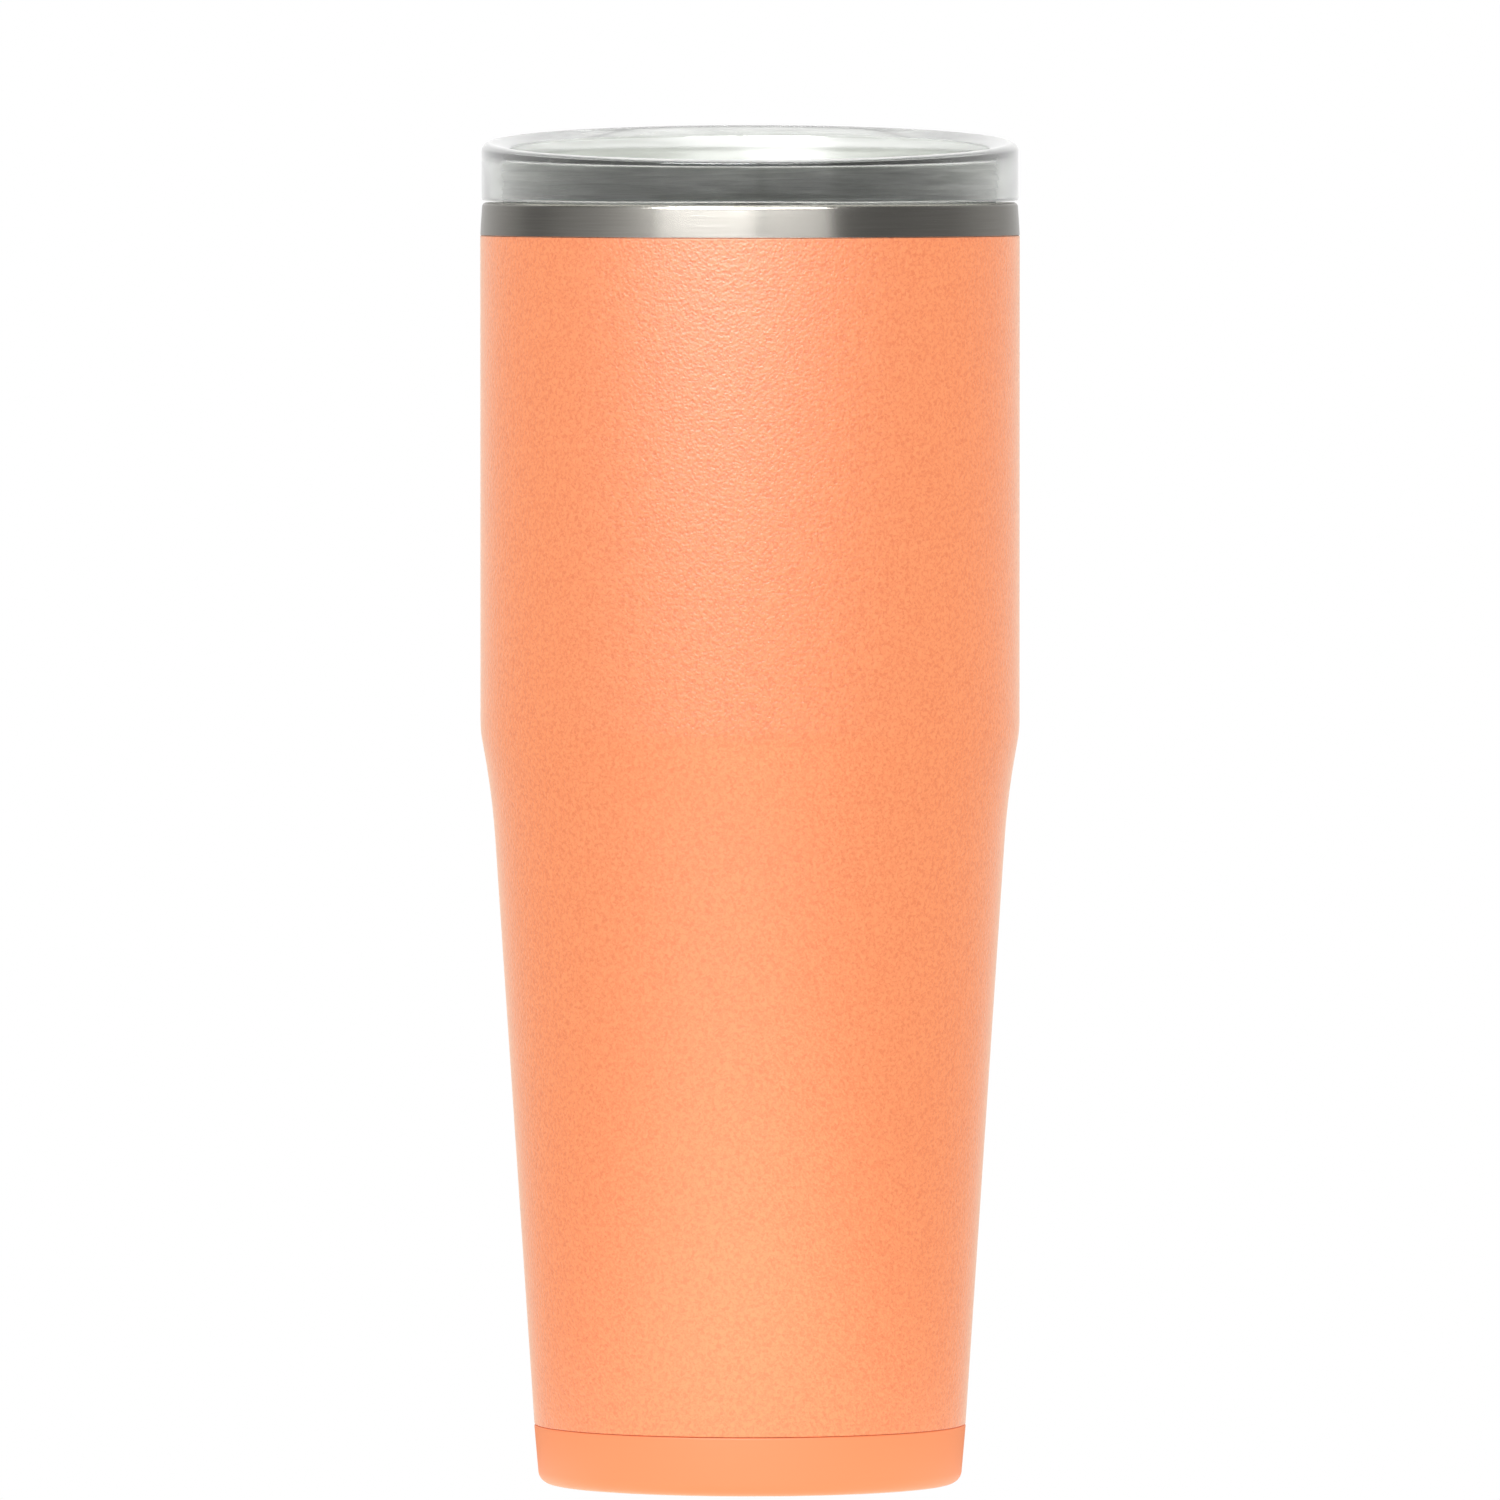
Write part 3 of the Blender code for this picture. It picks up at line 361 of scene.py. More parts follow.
boot_foot = FOOT_RADIUS - (BOOT_TOP - BOOT_ROUND) * math.tan(BOOT_DRAFT)
boot_section = [
    (0, BOOT_FLOOR),
    (FOOT_RADIUS - BOOT_WALL - (BOOT_TOP - BOOT_FLOOR) * math.tan(BOOT_DRAFT), BOOT_FLOOR),
    (FOOT_RADIUS - BOOT_WALL, BOOT_TOP),
    *arc((FOOT_RADIUS - BOOT_EDGE, BOOT_TOP - BOOT_EDGE), BOOT_EDGE, 90, 0, 5),
    *arc((boot_foot - BOOT_ROUND, BOOT_ROUND), BOOT_ROUND, 0, -90, 10),
    (RECESS_RADIUS + 2 * RECESS_DEPTH, 0),
    (RECESS_RADIUS + RECESS_DEPTH, RECESS_DEPTH / 3),
    (RECESS_RADIUS, RECESS_DEPTH),
    (0, RECESS_DEPTH),
]
foot_boot = turn("foot_boot", boot_section)

# Silicone rubber, moulded in a fine-blasted tool: smooth, matte and slightly waxy, the paint's own peach.
boot_silicone, tree, shader = new_material("moulded_silicone_rubber", Roughness=0.5, IOR=1.41)
place = node(tree, "ShaderNodeTexCoord")
blast = node(tree, "ShaderNodeTexNoise", {"Vector": place.outputs["Object"], "Scale": 3200.0, "Detail": 1.0})
bump = node(tree, "ShaderNodeBump", {"Height": blast.outputs["Fac"], "Strength": 0.12, "Distance": 0.02 * MM})
cloud = node(tree, "ShaderNodeTexNoise", {"Vector": place.outputs["Object"], "Scale": 60.0, "Detail": 3.0})
tint = node(
    tree, "ShaderNodeMix",
    {"Factor": cloud.outputs["Fac"], 6: colour("#F7935D"), 7: colour("#F99661")}, data_type="RGBA",
)
tree.links.new(tint.outputs[2], shader.inputs["Base Color"])
tree.links.new(bump.outputs["Normal"], shader.inputs["Normal"])
dress(foot_boot, boot_silicone)
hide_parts("base_boot")
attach(foot_boot, "cup")

# ---------------------------------------------------------------------------------------------------------
# Pieces shut in between the walls
# The bottom plate with its getter cup, the getter, the glass bead that seals the evacuation hole, and the
# copper foil that turns radiant heat back. They keep their shape from the model and get their own finishes.
# ---------------------------------------------------------------------------------------------------------

for name in ("outer_bottom", "getter_cup"):
    dress(frame["nodes"][name], buffed_steel)

# Solder glass: fused from a paste ring, dark, glossy and a little uneven.
solder_glass, tree, shader = new_material("fused_solder_glass", Roughness=0.15, IOR=1.6)
place = node(tree, "ShaderNodeTexCoord")
swirl = node(tree, "ShaderNodeTexNoise", {"Vector": place.outputs["Object"], "Scale": 900.0, "Detail": 2.0})
tint = node(
    tree, "ShaderNodeMix",
    {"Factor": swirl.outputs["Fac"], 6: colour("#3A3A35"), 7: colour("#54544C")}, data_type="RGBA",
)
tree.links.new(tint.outputs[2], shader.inputs["Base Color"])
dress(frame["nodes"]["sealing_bead"], solder_glass)

# Sintered getter alloy: pressed metal powder, dull grey and grainy.
getter_alloy, tree, shader = new_material("sintered_getter_alloy", Metallic=1.0, Roughness=0.7)
place = node(tree, "ShaderNodeTexCoord")
grit = node(tree, "ShaderNodeTexNoise", {"Vector": place.outputs["Object"], "Scale": 4000.0, "Detail": 2.0})
tint = node(
    tree, "ShaderNodeMix",
    {"Factor": grit.outputs["Fac"], 6: colour("#5B5B5E"), 7: colour("#8C8C90")}, data_type="RGBA",
)
tree.links.new(tint.outputs[2], shader.inputs["Base Color"])
dress(frame["nodes"]["getter_pill"], getter_alloy)

# Rolled copper foil: bright, with faint creases from being wrapped round the cup by hand.
copper_foil, tree, shader = new_material("rolled_copper_foil", Metallic=1.0, Roughness=0.25)
place = node(tree, "ShaderNodeTexCoord")
creases = node(tree, "ShaderNodeTexNoise", {"Vector": place.outputs["Object"], "Scale": 90.0, "Detail": 4.0})
bump = node(tree, "ShaderNodeBump", {"Height": creases.outputs["Fac"], "Strength": 0.3, "Distance": 0.3 * MM})
tint = node(
    tree, "ShaderNodeMix",
    {"Factor": creases.outputs["Fac"], 6: colour("#C9784F"), 7: colour("#E09A6E")}, data_type="RGBA",
)
tree.links.new(tint.outputs[2], shader.inputs["Base Color"])
tree.links.new(bump.outputs["Normal"], shader.inputs["Normal"])
dress(frame["nodes"]["copper_foil"], copper_foil)

# ---------------------------------------------------------------------------------------------------------
# Clear lid
# One injection moulding in clear copolyester: a drinking bowl whose rim leans up towards the back, a collar
# that carries on the cup's wall, cored out from below, and a plug with a gasket groove that presses into the
# mouth. The bowl's floor carries the deck and the slider, and two bosses below it hold the lid's magnets.
# ---------------------------------------------------------------------------------------------------------

lid_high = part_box("lid_shell")[1]
slider_low, slider_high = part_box("slider_cap")
port_middle = sum((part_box("slider_seal")[i].y for i in (0, 1))) / 2
magnet_rows = [sum(corner.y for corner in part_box("lid_magnet_" + row)) / 2 for row in ("front", "rear")]
travel = frame["joints"][1]["range_m"][1]
FIT = 0.3 * MM
SEAT = LINER_TOP + FIT
COLLAR_RADIUS = lid_high.x
CREST = SEAT + 9.8 * MM
COLLAR_EDGE = 0.5 * MM
CREST_ROUND = 1.5 * MM
RIM_WIDTH = 4.95 * MM
RIM_FALL = 0.9 * MM
RIM_INNER_ROUND = 0.35 * MM
RIM_LEAN = 0.06
BOWL_DRAFT = math.radians(12)
BOWL_ROUND = 3.5 * MM
BOWL_FLOOR = slider_low.z - FIT
LID_WALL = 2.2 * MM
SKIRT_WALL = 1.6 * MM
CORE_WIDTH = 1.8 * MM
CORE_DEPTH = 7.4 * MM
CORE_DRAFT = 0.25 * MM
CORE_ROUND = 0.6 * MM
CORE_MARGIN = 0.1 * MM
PLUG_RADIUS = mouth_radius - 0.45 * MM
PLUG_BOTTOM = SEAT - 9.4 * MM
PLUG_WALL = 1.7 * MM
GROOVE_TOP = SEAT - 2.6 * MM
GROOVE_HEIGHT = 4.4 * MM
GROOVE_DEPTH = 1.6 * MM
PLUG_EDGE = 0.4 * MM
PLUG_LEAD = 0.7 * MM

bowl_top = (COLLAR_RADIUS - RIM_WIDTH, CREST - RIM_FALL)
bowl_side = bowl_top[0] - (bowl_top[1] - BOWL_FLOOR - BOWL_ROUND) * math.tan(BOWL_DRAFT)
floor_radius = bowl_side - BOWL_ROUND / math.cos(BOWL_DRAFT)
underside = BOWL_FLOOR - LID_WALL
plug_inner = PLUG_RADIUS - GROOVE_DEPTH - PLUG_WALL
core_outer = COLLAR_RADIUS - SKIRT_WALL
core_inner = core_outer - CORE_WIDTH
lid_section = [
    (0, BOWL_FLOOR),
    *arc((floor_radius, BOWL_FLOOR + BOWL_ROUND), BOWL_ROUND, -90, -math.degrees(BOWL_DRAFT), 10),
    *arc((bowl_top[0] + RIM_INNER_ROUND, bowl_top[1] - RIM_INNER_ROUND), RIM_INNER_ROUND, 168, 100, 4),
    *arc((COLLAR_RADIUS - CREST_ROUND, CREST - CREST_ROUND), CREST_ROUND, 98, 0, 10),
    *arc((COLLAR_RADIUS - COLLAR_EDGE, SEAT + COLLAR_EDGE), COLLAR_EDGE, 0, -90, 6),
    (core_outer, SEAT),
    *arc((core_outer - CORE_DRAFT - CORE_ROUND, SEAT + CORE_DEPTH - CORE_ROUND), CORE_ROUND, 0, 90, 5),
    *arc((core_inner + CORE_DRAFT + CORE_ROUND, SEAT + CORE_DEPTH - CORE_ROUND), CORE_ROUND, 90, 180, 5),
    (core_inner, SEAT),
    (PLUG_RADIUS, SEAT),
    (PLUG_RADIUS, GROOVE_TOP),
    (PLUG_RADIUS - GROOVE_DEPTH, GROOVE_TOP),
    (PLUG_RADIUS - GROOVE_DEPTH, GROOVE_TOP - GROOVE_HEIGHT),
    (PLUG_RADIUS, GROOVE_TOP - GROOVE_HEIGHT),
    *arc((PLUG_RADIUS - PLUG_LEAD, PLUG_BOTTOM + PLUG_EDGE), PLUG_EDGE, 0, -90, 4),
    (plug_inner, PLUG_BOTTOM),
    *arc((plug_inner - PLUG_WALL / 2, underside - PLUG_WALL / 2), PLUG_WALL / 2, 0, 90, 5),
    (0, underside),
]
clear_lid = turn("clear_lid", lid_section)


def lean(piece, low, high, rise):
    """Leans a piece's top up towards the back with a lattice whose lower corners stay where they are."""
    side = 2 * COLLAR_RADIUS
    bpy.ops.object.select_all(action="DESELECT")
    bpy.ops.object.add(type="LATTICE", location=(0, 0, (low + high) / 2))
    cage = bpy.context.object
    cage.scale = (side, side, high - low)
    cage.data.interpolation_type_u = cage.data.interpolation_type_v = "KEY_LINEAR"
    cage.data.interpolation_type_w = "KEY_LINEAR"
    for point in cage.data.points:
        if point.co.z > 0:
            point.co_deform.z += rise * point.co.y * side / (high - low)
    bend = piece.modifiers.new("lean", "LATTICE")
    bend.object = cage
    bpy.context.view_layer.objects.active = piece
    bpy.ops.object.modifier_apply(modifier="lean")
    bpy.data.objects.remove(cage)


lean(clear_lid, BOWL_FLOOR + BOWL_ROUND, CREST, RIM_LEAN)


def rounded_block(name, width, front, rear, low, high, front_round, rear_round, edge=0.0, steps=8):
    """A cube drawn to size, with its upright corners and then its top edge bevelled."""
    bpy.ops.object.select_all(action="DESELECT")
    bpy.ops.mesh.primitive_cube_add(size=1, location=(0, (front + rear) / 2, (low + high) / 2))
    made = bpy.context.object
    made.name = made.data.name = name
    made.scale = (width, rear - front, high - low)
    bpy.ops.object.transform_apply(location=True, rotation=True, scale=True)
    for radius, ahead in ((front_round, True), (rear_round, False)):
        if not radius:
            continue
        bpy.ops.object.mode_set(mode="EDIT")
        bpy.ops.mesh.select_mode(type="EDGE")
        bpy.ops.mesh.select_all(action="DESELECT")
        bpy.ops.object.mode_set(mode="OBJECT")
        points = made.data.vertices
        for line in made.data.edges:
            ends = [points[i].co for i in line.vertices]
            upright = abs(ends[0].z - ends[1].z) > (high - low) / 2
            line.select = upright and (ends[0].y < (front + rear) / 2) == ahead
        bpy.ops.object.mode_set(mode="EDIT")
        bpy.ops.mesh.bevel(offset=radius, segments=steps, affect="EDGES")
        bpy.ops.object.mode_set(mode="OBJECT")
    if edge:
        bpy.ops.object.mode_set(mode="EDIT")
        bpy.ops.mesh.select_mode(type="FACE")
        bpy.ops.mesh.select_all(action="DESELECT")
        bpy.ops.object.mode_set(mode="OBJECT")
        for face in made.data.polygons:
            face.select = face.normal.z > 0.9
        bpy.ops.object.mode_set(mode="EDIT")
        bpy.ops.mesh.region_to_loop()
        bpy.ops.mesh.bevel(offset=edge, segments=4, affect="EDGES")
        bpy.ops.object.mode_set(mode="OBJECT")
    return made


def round_block(name, radius, low, high, y, x=0.0, edge=0.0, steps=64):
    """An upright disc with its top and bottom edges bevelled."""
    bpy.ops.object.select_all(action="DESELECT")
    bpy.ops.mesh.primitive_cylinder_add(
        vertices=steps, radius=radius, depth=high - low, location=(x, y, (low + high) / 2)
    )
    made = bpy.context.object
    made.name = made.data.name = name
    bpy.ops.object.transform_apply(location=True, rotation=True, scale=True)
    if edge:
        bpy.ops.object.mode_set(mode="EDIT")
        bpy.ops.mesh.select_mode(type="FACE")
        bpy.ops.mesh.select_all(action="DESELECT")
        bpy.ops.object.mode_set(mode="OBJECT")
        for face in made.data.polygons:
            face.select = abs(face.normal.z) > 0.9
        bpy.ops.object.mode_set(mode="EDIT")
        bpy.ops.mesh.region_to_loop()
        bpy.ops.mesh.bevel(offset=edge, segments=3, affect="EDGES")
        bpy.ops.object.mode_set(mode="OBJECT")
    return made


def combine(piece, tool, operation):
    """Cuts piece by tool, or joins tool to it, and takes the tool away."""
    boolean = piece.modifiers.new("combine", "BOOLEAN")
    boolean.operation = operation
    boolean.solver = "EXACT"
    boolean.object = tool
    bpy.context.view_layer.objects.active = piece
    bpy.ops.object.modifier_apply(modifier="combine")
    bpy.data.objects.remove(tool)


OVERCUT = MM
PORT_WIDTH = 16 * MM
PORT_DEPTH = 7 * MM
PORT_ROUND = 3.1 * MM
VENT_RADIUS = 1.2 * MM
VENT_FROM_WALL = 6 * MM
POCKET_RADIUS = 4.3 * MM
BOSS_WALL = 1.2 * MM
BOSS_EDGE = 0.3 * MM
BOSS_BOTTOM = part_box("magnet_cover_front")[0].z
POCKET_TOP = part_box("lid_magnet_front")[1].z + FIT

for y in magnet_rows:
    boss = round_block(
        "boss", POCKET_RADIUS + BOSS_WALL, BOSS_BOTTOM, BOWL_FLOOR - LID_WALL / 2, y, edge=BOSS_EDGE
    )
    combine(clear_lid, boss, "UNION")
for y in magnet_rows:
    pocket = round_block("pocket", POCKET_RADIUS, BOSS_BOTTOM - OVERCUT, POCKET_TOP, y)
    combine(clear_lid, pocket, "DIFFERENCE")
port = rounded_block(
    "port", PORT_WIDTH, port_middle - PORT_DEPTH / 2, port_middle + PORT_DEPTH / 2,
    underside - OVERCUT, BOWL_FLOOR + OVERCUT, PORT_ROUND, PORT_ROUND,
)
combine(clear_lid, port, "DIFFERENCE")
vent_y = floor_radius - VENT_FROM_WALL
vent = round_block("vent", VENT_RADIUS, underside - OVERCUT, BOWL_FLOOR + OVERCUT, vent_y, steps=32)
combine(clear_lid, vent, "DIFFERENCE")
smooth(clear_lid)

# Clear copolyester, polished in the mould on the outside: clear, wavy as a thick moulding is, with grey
# streaks in its tint that run round the collar and a pale haze where the surface turns away from the eye.
clear_copolyester, tree, shader = new_material(
    "clear_copolyester", Roughness=0.06, IOR=1.54, Transmission_Weight=1.0, Sheen_Weight=1.0,
    Sheen_Roughness=0.5,
)
place = node(tree, "ShaderNodeTexCoord")
sink = node(tree, "ShaderNodeTexNoise", {"Vector": place.outputs["Object"], "Scale": 110.0, "Detail": 2.0})
bump = node(tree, "ShaderNodeBump", {"Height": sink.outputs["Fac"], "Strength": 0.25, "Distance": 0.15 * MM})
squeeze = node(tree, "ShaderNodeMapping", {"Vector": place.outputs["Object"], "Scale": (1, 1, 18)})
grey_streaks = node(
    tree, "ShaderNodeTexNoise",
    {"Vector": squeeze.outputs[0], "Scale": 55.0, "Detail": 5.0, "Roughness": 0.65, "Distortion": 0.4},
)
cast = node(tree, "ShaderNodeMapRange", {"Value": grey_streaks.outputs["Fac"], "From Min": 0.35, "From Max": 0.65})
tint = node(
    tree, "ShaderNodeMix",
    {"Factor": cast.outputs["Result"], 6: colour("#C4C7C1"), 7: colour("#FAFCF8")}, data_type="RGBA",
)
tree.links.new(tint.outputs[2], shader.inputs["Base Color"])
tree.links.new(bump.outputs["Normal"], shader.inputs["Normal"])
dress(clear_lid, clear_copolyester)

# The same plastic where the mould was blasted, in the bowl and underneath: satin, so that it blurs the deck.
satin_copolyester, tree, shader = new_material(
    "satin_copolyester", Roughness=0.28, IOR=1.54, Transmission_Weight=1.0
)
place = node(tree, "ShaderNodeTexCoord")
blast = node(tree, "ShaderNodeTexNoise", {"Vector": place.outputs["Object"], "Scale": 2400.0, "Detail": 2.0})
bump = node(tree, "ShaderNodeBump", {"Height": blast.outputs["Fac"], "Strength": 0.2, "Distance": 0.02 * MM})
shader.inputs["Base Color"].default_value = colour("#F6F8F4")
tree.links.new(bump.outputs["Normal"], shader.inputs["Normal"])
clear_lid.data.materials.append(satin_copolyester)
for face in clear_lid.data.polygons:
    middle = face.center
    reach = math.hypot(middle.x, middle.y)
    in_bowl = reach < bowl_top[0] and middle.z < bowl_top[1] + RIM_LEAN * middle.y
    under = reach < core_inner + CORE_DRAFT + CORE_MARGIN and middle.z < SEAT + CORE_DEPTH - CORE_ROUND
    face.material_index = int(in_bowl or under)
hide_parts("lid_shell")
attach(clear_lid, "lid")

# ---------------------------------------------------------------------------------------------------------
# Magnets and their covers
# Nickel-plated neodymium discs: two in the lid's bosses, shut in by welded clear discs, two in the slider.
# They pull the slider down and snap it into place at both ends of its travel.
# ---------------------------------------------------------------------------------------------------------

MAGNET_EDGE = 0.2 * MM

# Nickel plate: bright, barely warm, with a soft satin from the barrel it was plated in.
nickel_plate, tree, shader = new_material("barrel_nickel_plate", Metallic=1.0)
place = node(tree, "ShaderNodeTexCoord")
barrel = node(tree, "ShaderNodeTexNoise", {"Vector": place.outputs["Object"], "Scale": 1500.0, "Detail": 2.0})
rough = node(tree, "ShaderNodeMapRange", {"Value": barrel.outputs["Fac"], "To Min": 0.18, "To Max": 0.3})
shader.inputs["Base Color"].default_value = colour("#CFCBC2")
tree.links.new(rough.outputs["Result"], shader.inputs["Roughness"])

for stem, body, material, slot in (
    ("lid_magnet_", "lid", nickel_plate, "magnet"),
    ("magnet_cover_", "lid", clear_copolyester, "clear_plastic"),
    ("slider_magnet_", "slider", nickel_plate, "magnet"),
):
    for row in ("front", "rear"):
        low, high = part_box(stem + row)
        made = round_block(
            stem + "disc_" + row, (high.x - low.x) / 2, low.z, high.z, (low.y + high.y) / 2, edge=MAGNET_EDGE
        )
        smooth(made)
        dress(made, material)
        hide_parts(stem + row)
        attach(made, body)

# ---------------------------------------------------------------------------------------------------------
# Lid gasket
# A ring of translucent grey silicone in the plug's groove. Its two wiping lips grip the mouth of the cup.
# ---------------------------------------------------------------------------------------------------------

gasket_low, gasket_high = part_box("lid_gasket")
GASKET_LIP = 0.8 * MM
LIP_TIP = 0.25 * MM
LIP_PLACE = 0.65 * MM
gasket_inner = PLUG_RADIUS - GROOVE_DEPTH + FIT
gasket_waist = PLUG_RADIUS - FIT
gasket_reach = gasket_high.x
lip_top = arc((gasket_reach - LIP_TIP, gasket_high.z - LIP_PLACE), LIP_TIP, 60, -60, 5)
lip_bottom = arc((gasket_reach - LIP_TIP, gasket_low.z + LIP_PLACE), LIP_TIP, 60, -60, 5)
gasket_section = [
    (gasket_inner, gasket_high.z),
    (gasket_waist, gasket_high.z),
    *lip_top,
    (gasket_waist, gasket_high.z - GASKET_LIP - FIT),
    (gasket_waist, gasket_low.z + GASKET_LIP + FIT),
    *lip_bottom,
    (gasket_waist, gasket_low.z),
    (gasket_inner, gasket_low.z),
]
seal_ring = turn("seal_ring", gasket_section, closed=True)

# Food-grade silicone, moulded clear-grey: soft, satin and slightly see-through.
grey_silicone, tree, shader = new_material(
    "translucent_silicone", Roughness=0.4, IOR=1.41, Transmission_Weight=0.35
)
place = node(tree, "ShaderNodeTexCoord")
cloud = node(tree, "ShaderNodeTexNoise", {"Vector": place.outputs["Object"], "Scale": 300.0, "Detail": 2.0})
tint = node(
    tree, "ShaderNodeMix",
    {"Factor": cloud.outputs["Fac"], 6: colour("#C2C3BF"), 7: colour("#D0D1CD")}, data_type="RGBA",
)
tree.links.new(tint.outputs[2], shader.inputs["Base Color"])
dress(seal_ring, grey_silicone)
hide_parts("lid_gasket")
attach(seal_ring, "lid")

# ---------------------------------------------------------------------------------------------------------
# Deck
# A round deck in charcoal polypropylene, welded to the bowl's floor. A channel across it guides the slider,
# and a small vent behind the channel lets air in as the drink flows out.
# ---------------------------------------------------------------------------------------------------------

deck_low, deck_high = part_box("deck")
DECK_RADIUS = deck_high.x
DECK_EDGE = 0.6 * MM
SLIDER_GAP = 0.45 * MM
STOP_GAP = 0.9 * MM
SLIDER_REAR_ROUND = 6 * MM

deck = turn(
    "guide_deck",
    [
        (0, deck_high.z),
        *arc((DECK_RADIUS - DECK_EDGE, deck_high.z - DECK_EDGE), DECK_EDGE, 90, 0, 6),
        (DECK_RADIUS, deck_low.z),
        (0, deck_low.z),
    ],
)
channel = rounded_block(
    "channel", slider_high.x - slider_low.x + 2 * SLIDER_GAP, -DECK_RADIUS - OVERCUT,
    slider_high.y + travel + STOP_GAP, deck_low.z - OVERCUT, deck_high.z + OVERCUT, 0, SLIDER_REAR_ROUND,
)
combine(deck, channel, "DIFFERENCE")
vent = round_block("vent", VENT_RADIUS, deck_low.z - OVERCUT, deck_high.z + OVERCUT, vent_y, steps=32)
combine(deck, vent, "DIFFERENCE")
smooth(deck)

# Polypropylene, moulded in a spark-eroded tool: charcoal and matte, with a fine even grain.
charcoal_polypropylene, tree, shader = new_material(
    "charcoal_polypropylene", Roughness=0.6, IOR=1.49, Specular_IOR_Level=0.35
)
place = node(tree, "ShaderNodeTexCoord")
spark = node(tree, "ShaderNodeTexNoise", {"Vector": place.outputs["Object"], "Scale": 2800.0, "Detail": 2.0})
bump = node(tree, "ShaderNodeBump", {"Height": spark.outputs["Fac"], "Strength": 0.25, "Distance": 0.03 * MM})
tint = node(
    tree, "ShaderNodeMix",
    {"Factor": spark.outputs["Fac"], 6: colour("#161617"), 7: colour("#1E1E1F")}, data_type="RGBA",
)
tree.links.new(tint.outputs[2], shader.inputs["Base Color"])
tree.links.new(bump.outputs["Normal"], shader.inputs["Normal"])
dress(deck, charcoal_polypropylene)
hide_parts("deck")
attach(deck, "lid")

# ---------------------------------------------------------------------------------------------------------
# Slider
# Two mouldings in charcoal polypropylene, a cap and a plate welded under it, with the magnets between them,
# a soft silicone pad over the sip port and a ridged rubber pad on top for the thumb.
# ---------------------------------------------------------------------------------------------------------

grip_low, grip_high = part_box("thumb_grip")
SLIDER_FRONT_ROUND = 11 * MM
SLIDER_EDGE = 0.7 * MM
BAY_ROUND = 4.8 * MM
INNER_ROUND = 2 * MM
PLATE_FRONT_ROUND = 1.7 * MM
PAD_ROUND = 4.5 * MM
PAD_THICK = 1.4 * MM
PAD_EDGE = 0.2 * MM
THIN_EDGE = 0.15 * MM
GRIP_ROUND = 2.7 * MM
GRIP_TOP = slider_high.z + 0.2 * MM
RIDGES = 4
RIDGE_WIDTH = 1.2 * MM
RIDGE_INSET = 1.8 * MM
RIDGE_ROUND = 0.55 * MM
RIDGE_EDGE = 0.4 * MM
RIDGE_SINK = 0.3 * MM

slider_body = rounded_block(
    "slider_body", slider_high.x - slider_low.x, slider_low.y, slider_high.y, slider_low.z, slider_high.z,
    SLIDER_FRONT_ROUND, SLIDER_REAR_ROUND, edge=SLIDER_EDGE, steps=14,
)
seat = rounded_block(
    "grip_seat", grip_high.x - grip_low.x + 2 * FIT, grip_low.y - FIT, grip_high.y + FIT,
    grip_low.z - FIT, slider_high.z + OVERCUT, GRIP_ROUND + FIT, GRIP_ROUND + FIT,
)
combine(slider_body, seat, "DIFFERENCE")
seal_low, seal_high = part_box("slider_seal")
seal_bay = rounded_block(
    "seal_bay", seal_high.x - seal_low.x + 2 * FIT, seal_low.y - FIT, seal_high.y + FIT,
    slider_low.z - OVERCUT, seal_high.z + FIT, BAY_ROUND, BAY_ROUND,
)
combine(slider_body, seal_bay, "DIFFERENCE")
plate_low, plate_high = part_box("slider_plate")
plate_bay = rounded_block(
    "plate_bay", plate_high.x - plate_low.x + 2 * FIT, plate_low.y - FIT, plate_high.y + FIT,
    slider_low.z - OVERCUT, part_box("slider_magnet_front")[1].z + FIT, INNER_ROUND, BAY_ROUND,
)
combine(slider_body, plate_bay, "DIFFERENCE")
smooth(slider_body)
slider_base = rounded_block(
    "slider_base", plate_high.x - plate_low.x, plate_low.y, plate_high.y, plate_low.z, plate_high.z,
    PLATE_FRONT_ROUND, PAD_ROUND, edge=THIN_EDGE,
)
smooth(slider_base)

for made, name in ((slider_body, "slider_cap"), (slider_base, "slider_plate")):
    dress(made, charcoal_polypropylene)
    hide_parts(name)
    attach(made, "slider")

thumb_pad = rounded_block(
    "thumb_pad", grip_high.x - grip_low.x, grip_low.y, grip_high.y, grip_low.z, GRIP_TOP,
    GRIP_ROUND, GRIP_ROUND, edge=THIN_EDGE,
)
pitch = (grip_high.y - grip_low.y) / RIDGES
for i in range(RIDGES):
    y = grip_low.y + (i + 0.5) * pitch
    ridge = rounded_block(
        "ridge", grip_high.x - grip_low.x - 2 * RIDGE_INSET, y - RIDGE_WIDTH / 2, y + RIDGE_WIDTH / 2,
        GRIP_TOP - RIDGE_SINK, grip_high.z, RIDGE_ROUND, RIDGE_ROUND, edge=RIDGE_EDGE, steps=5,
    )
    combine(thumb_pad, ridge, "UNION")
smooth(thumb_pad)

# Thermoplastic rubber moulded onto the cap: near black, dead matte, slightly grippy.
grip_rubber, tree, shader = new_material("overmoulded_rubber", Roughness=0.75, IOR=1.5)
place = node(tree, "ShaderNodeTexCoord")
dust = node(tree, "ShaderNodeTexNoise", {"Vector": place.outputs["Object"], "Scale": 1800.0, "Detail": 3.0})
bump = node(tree, "ShaderNodeBump", {"Height": dust.outputs["Fac"], "Strength": 0.3, "Distance": 0.04 * MM})
tint = node(
    tree, "ShaderNodeMix",
    {"Factor": dust.outputs["Fac"], 6: colour("#1F1F20"), 7: colour("#29292A")}, data_type="RGBA",
)
tree.links.new(tint.outputs[2], shader.inputs["Base Color"])
tree.links.new(bump.outputs["Normal"], shader.inputs["Normal"])
dress(thumb_pad, grip_rubber)
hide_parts("thumb_grip")
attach(thumb_pad, "slider")

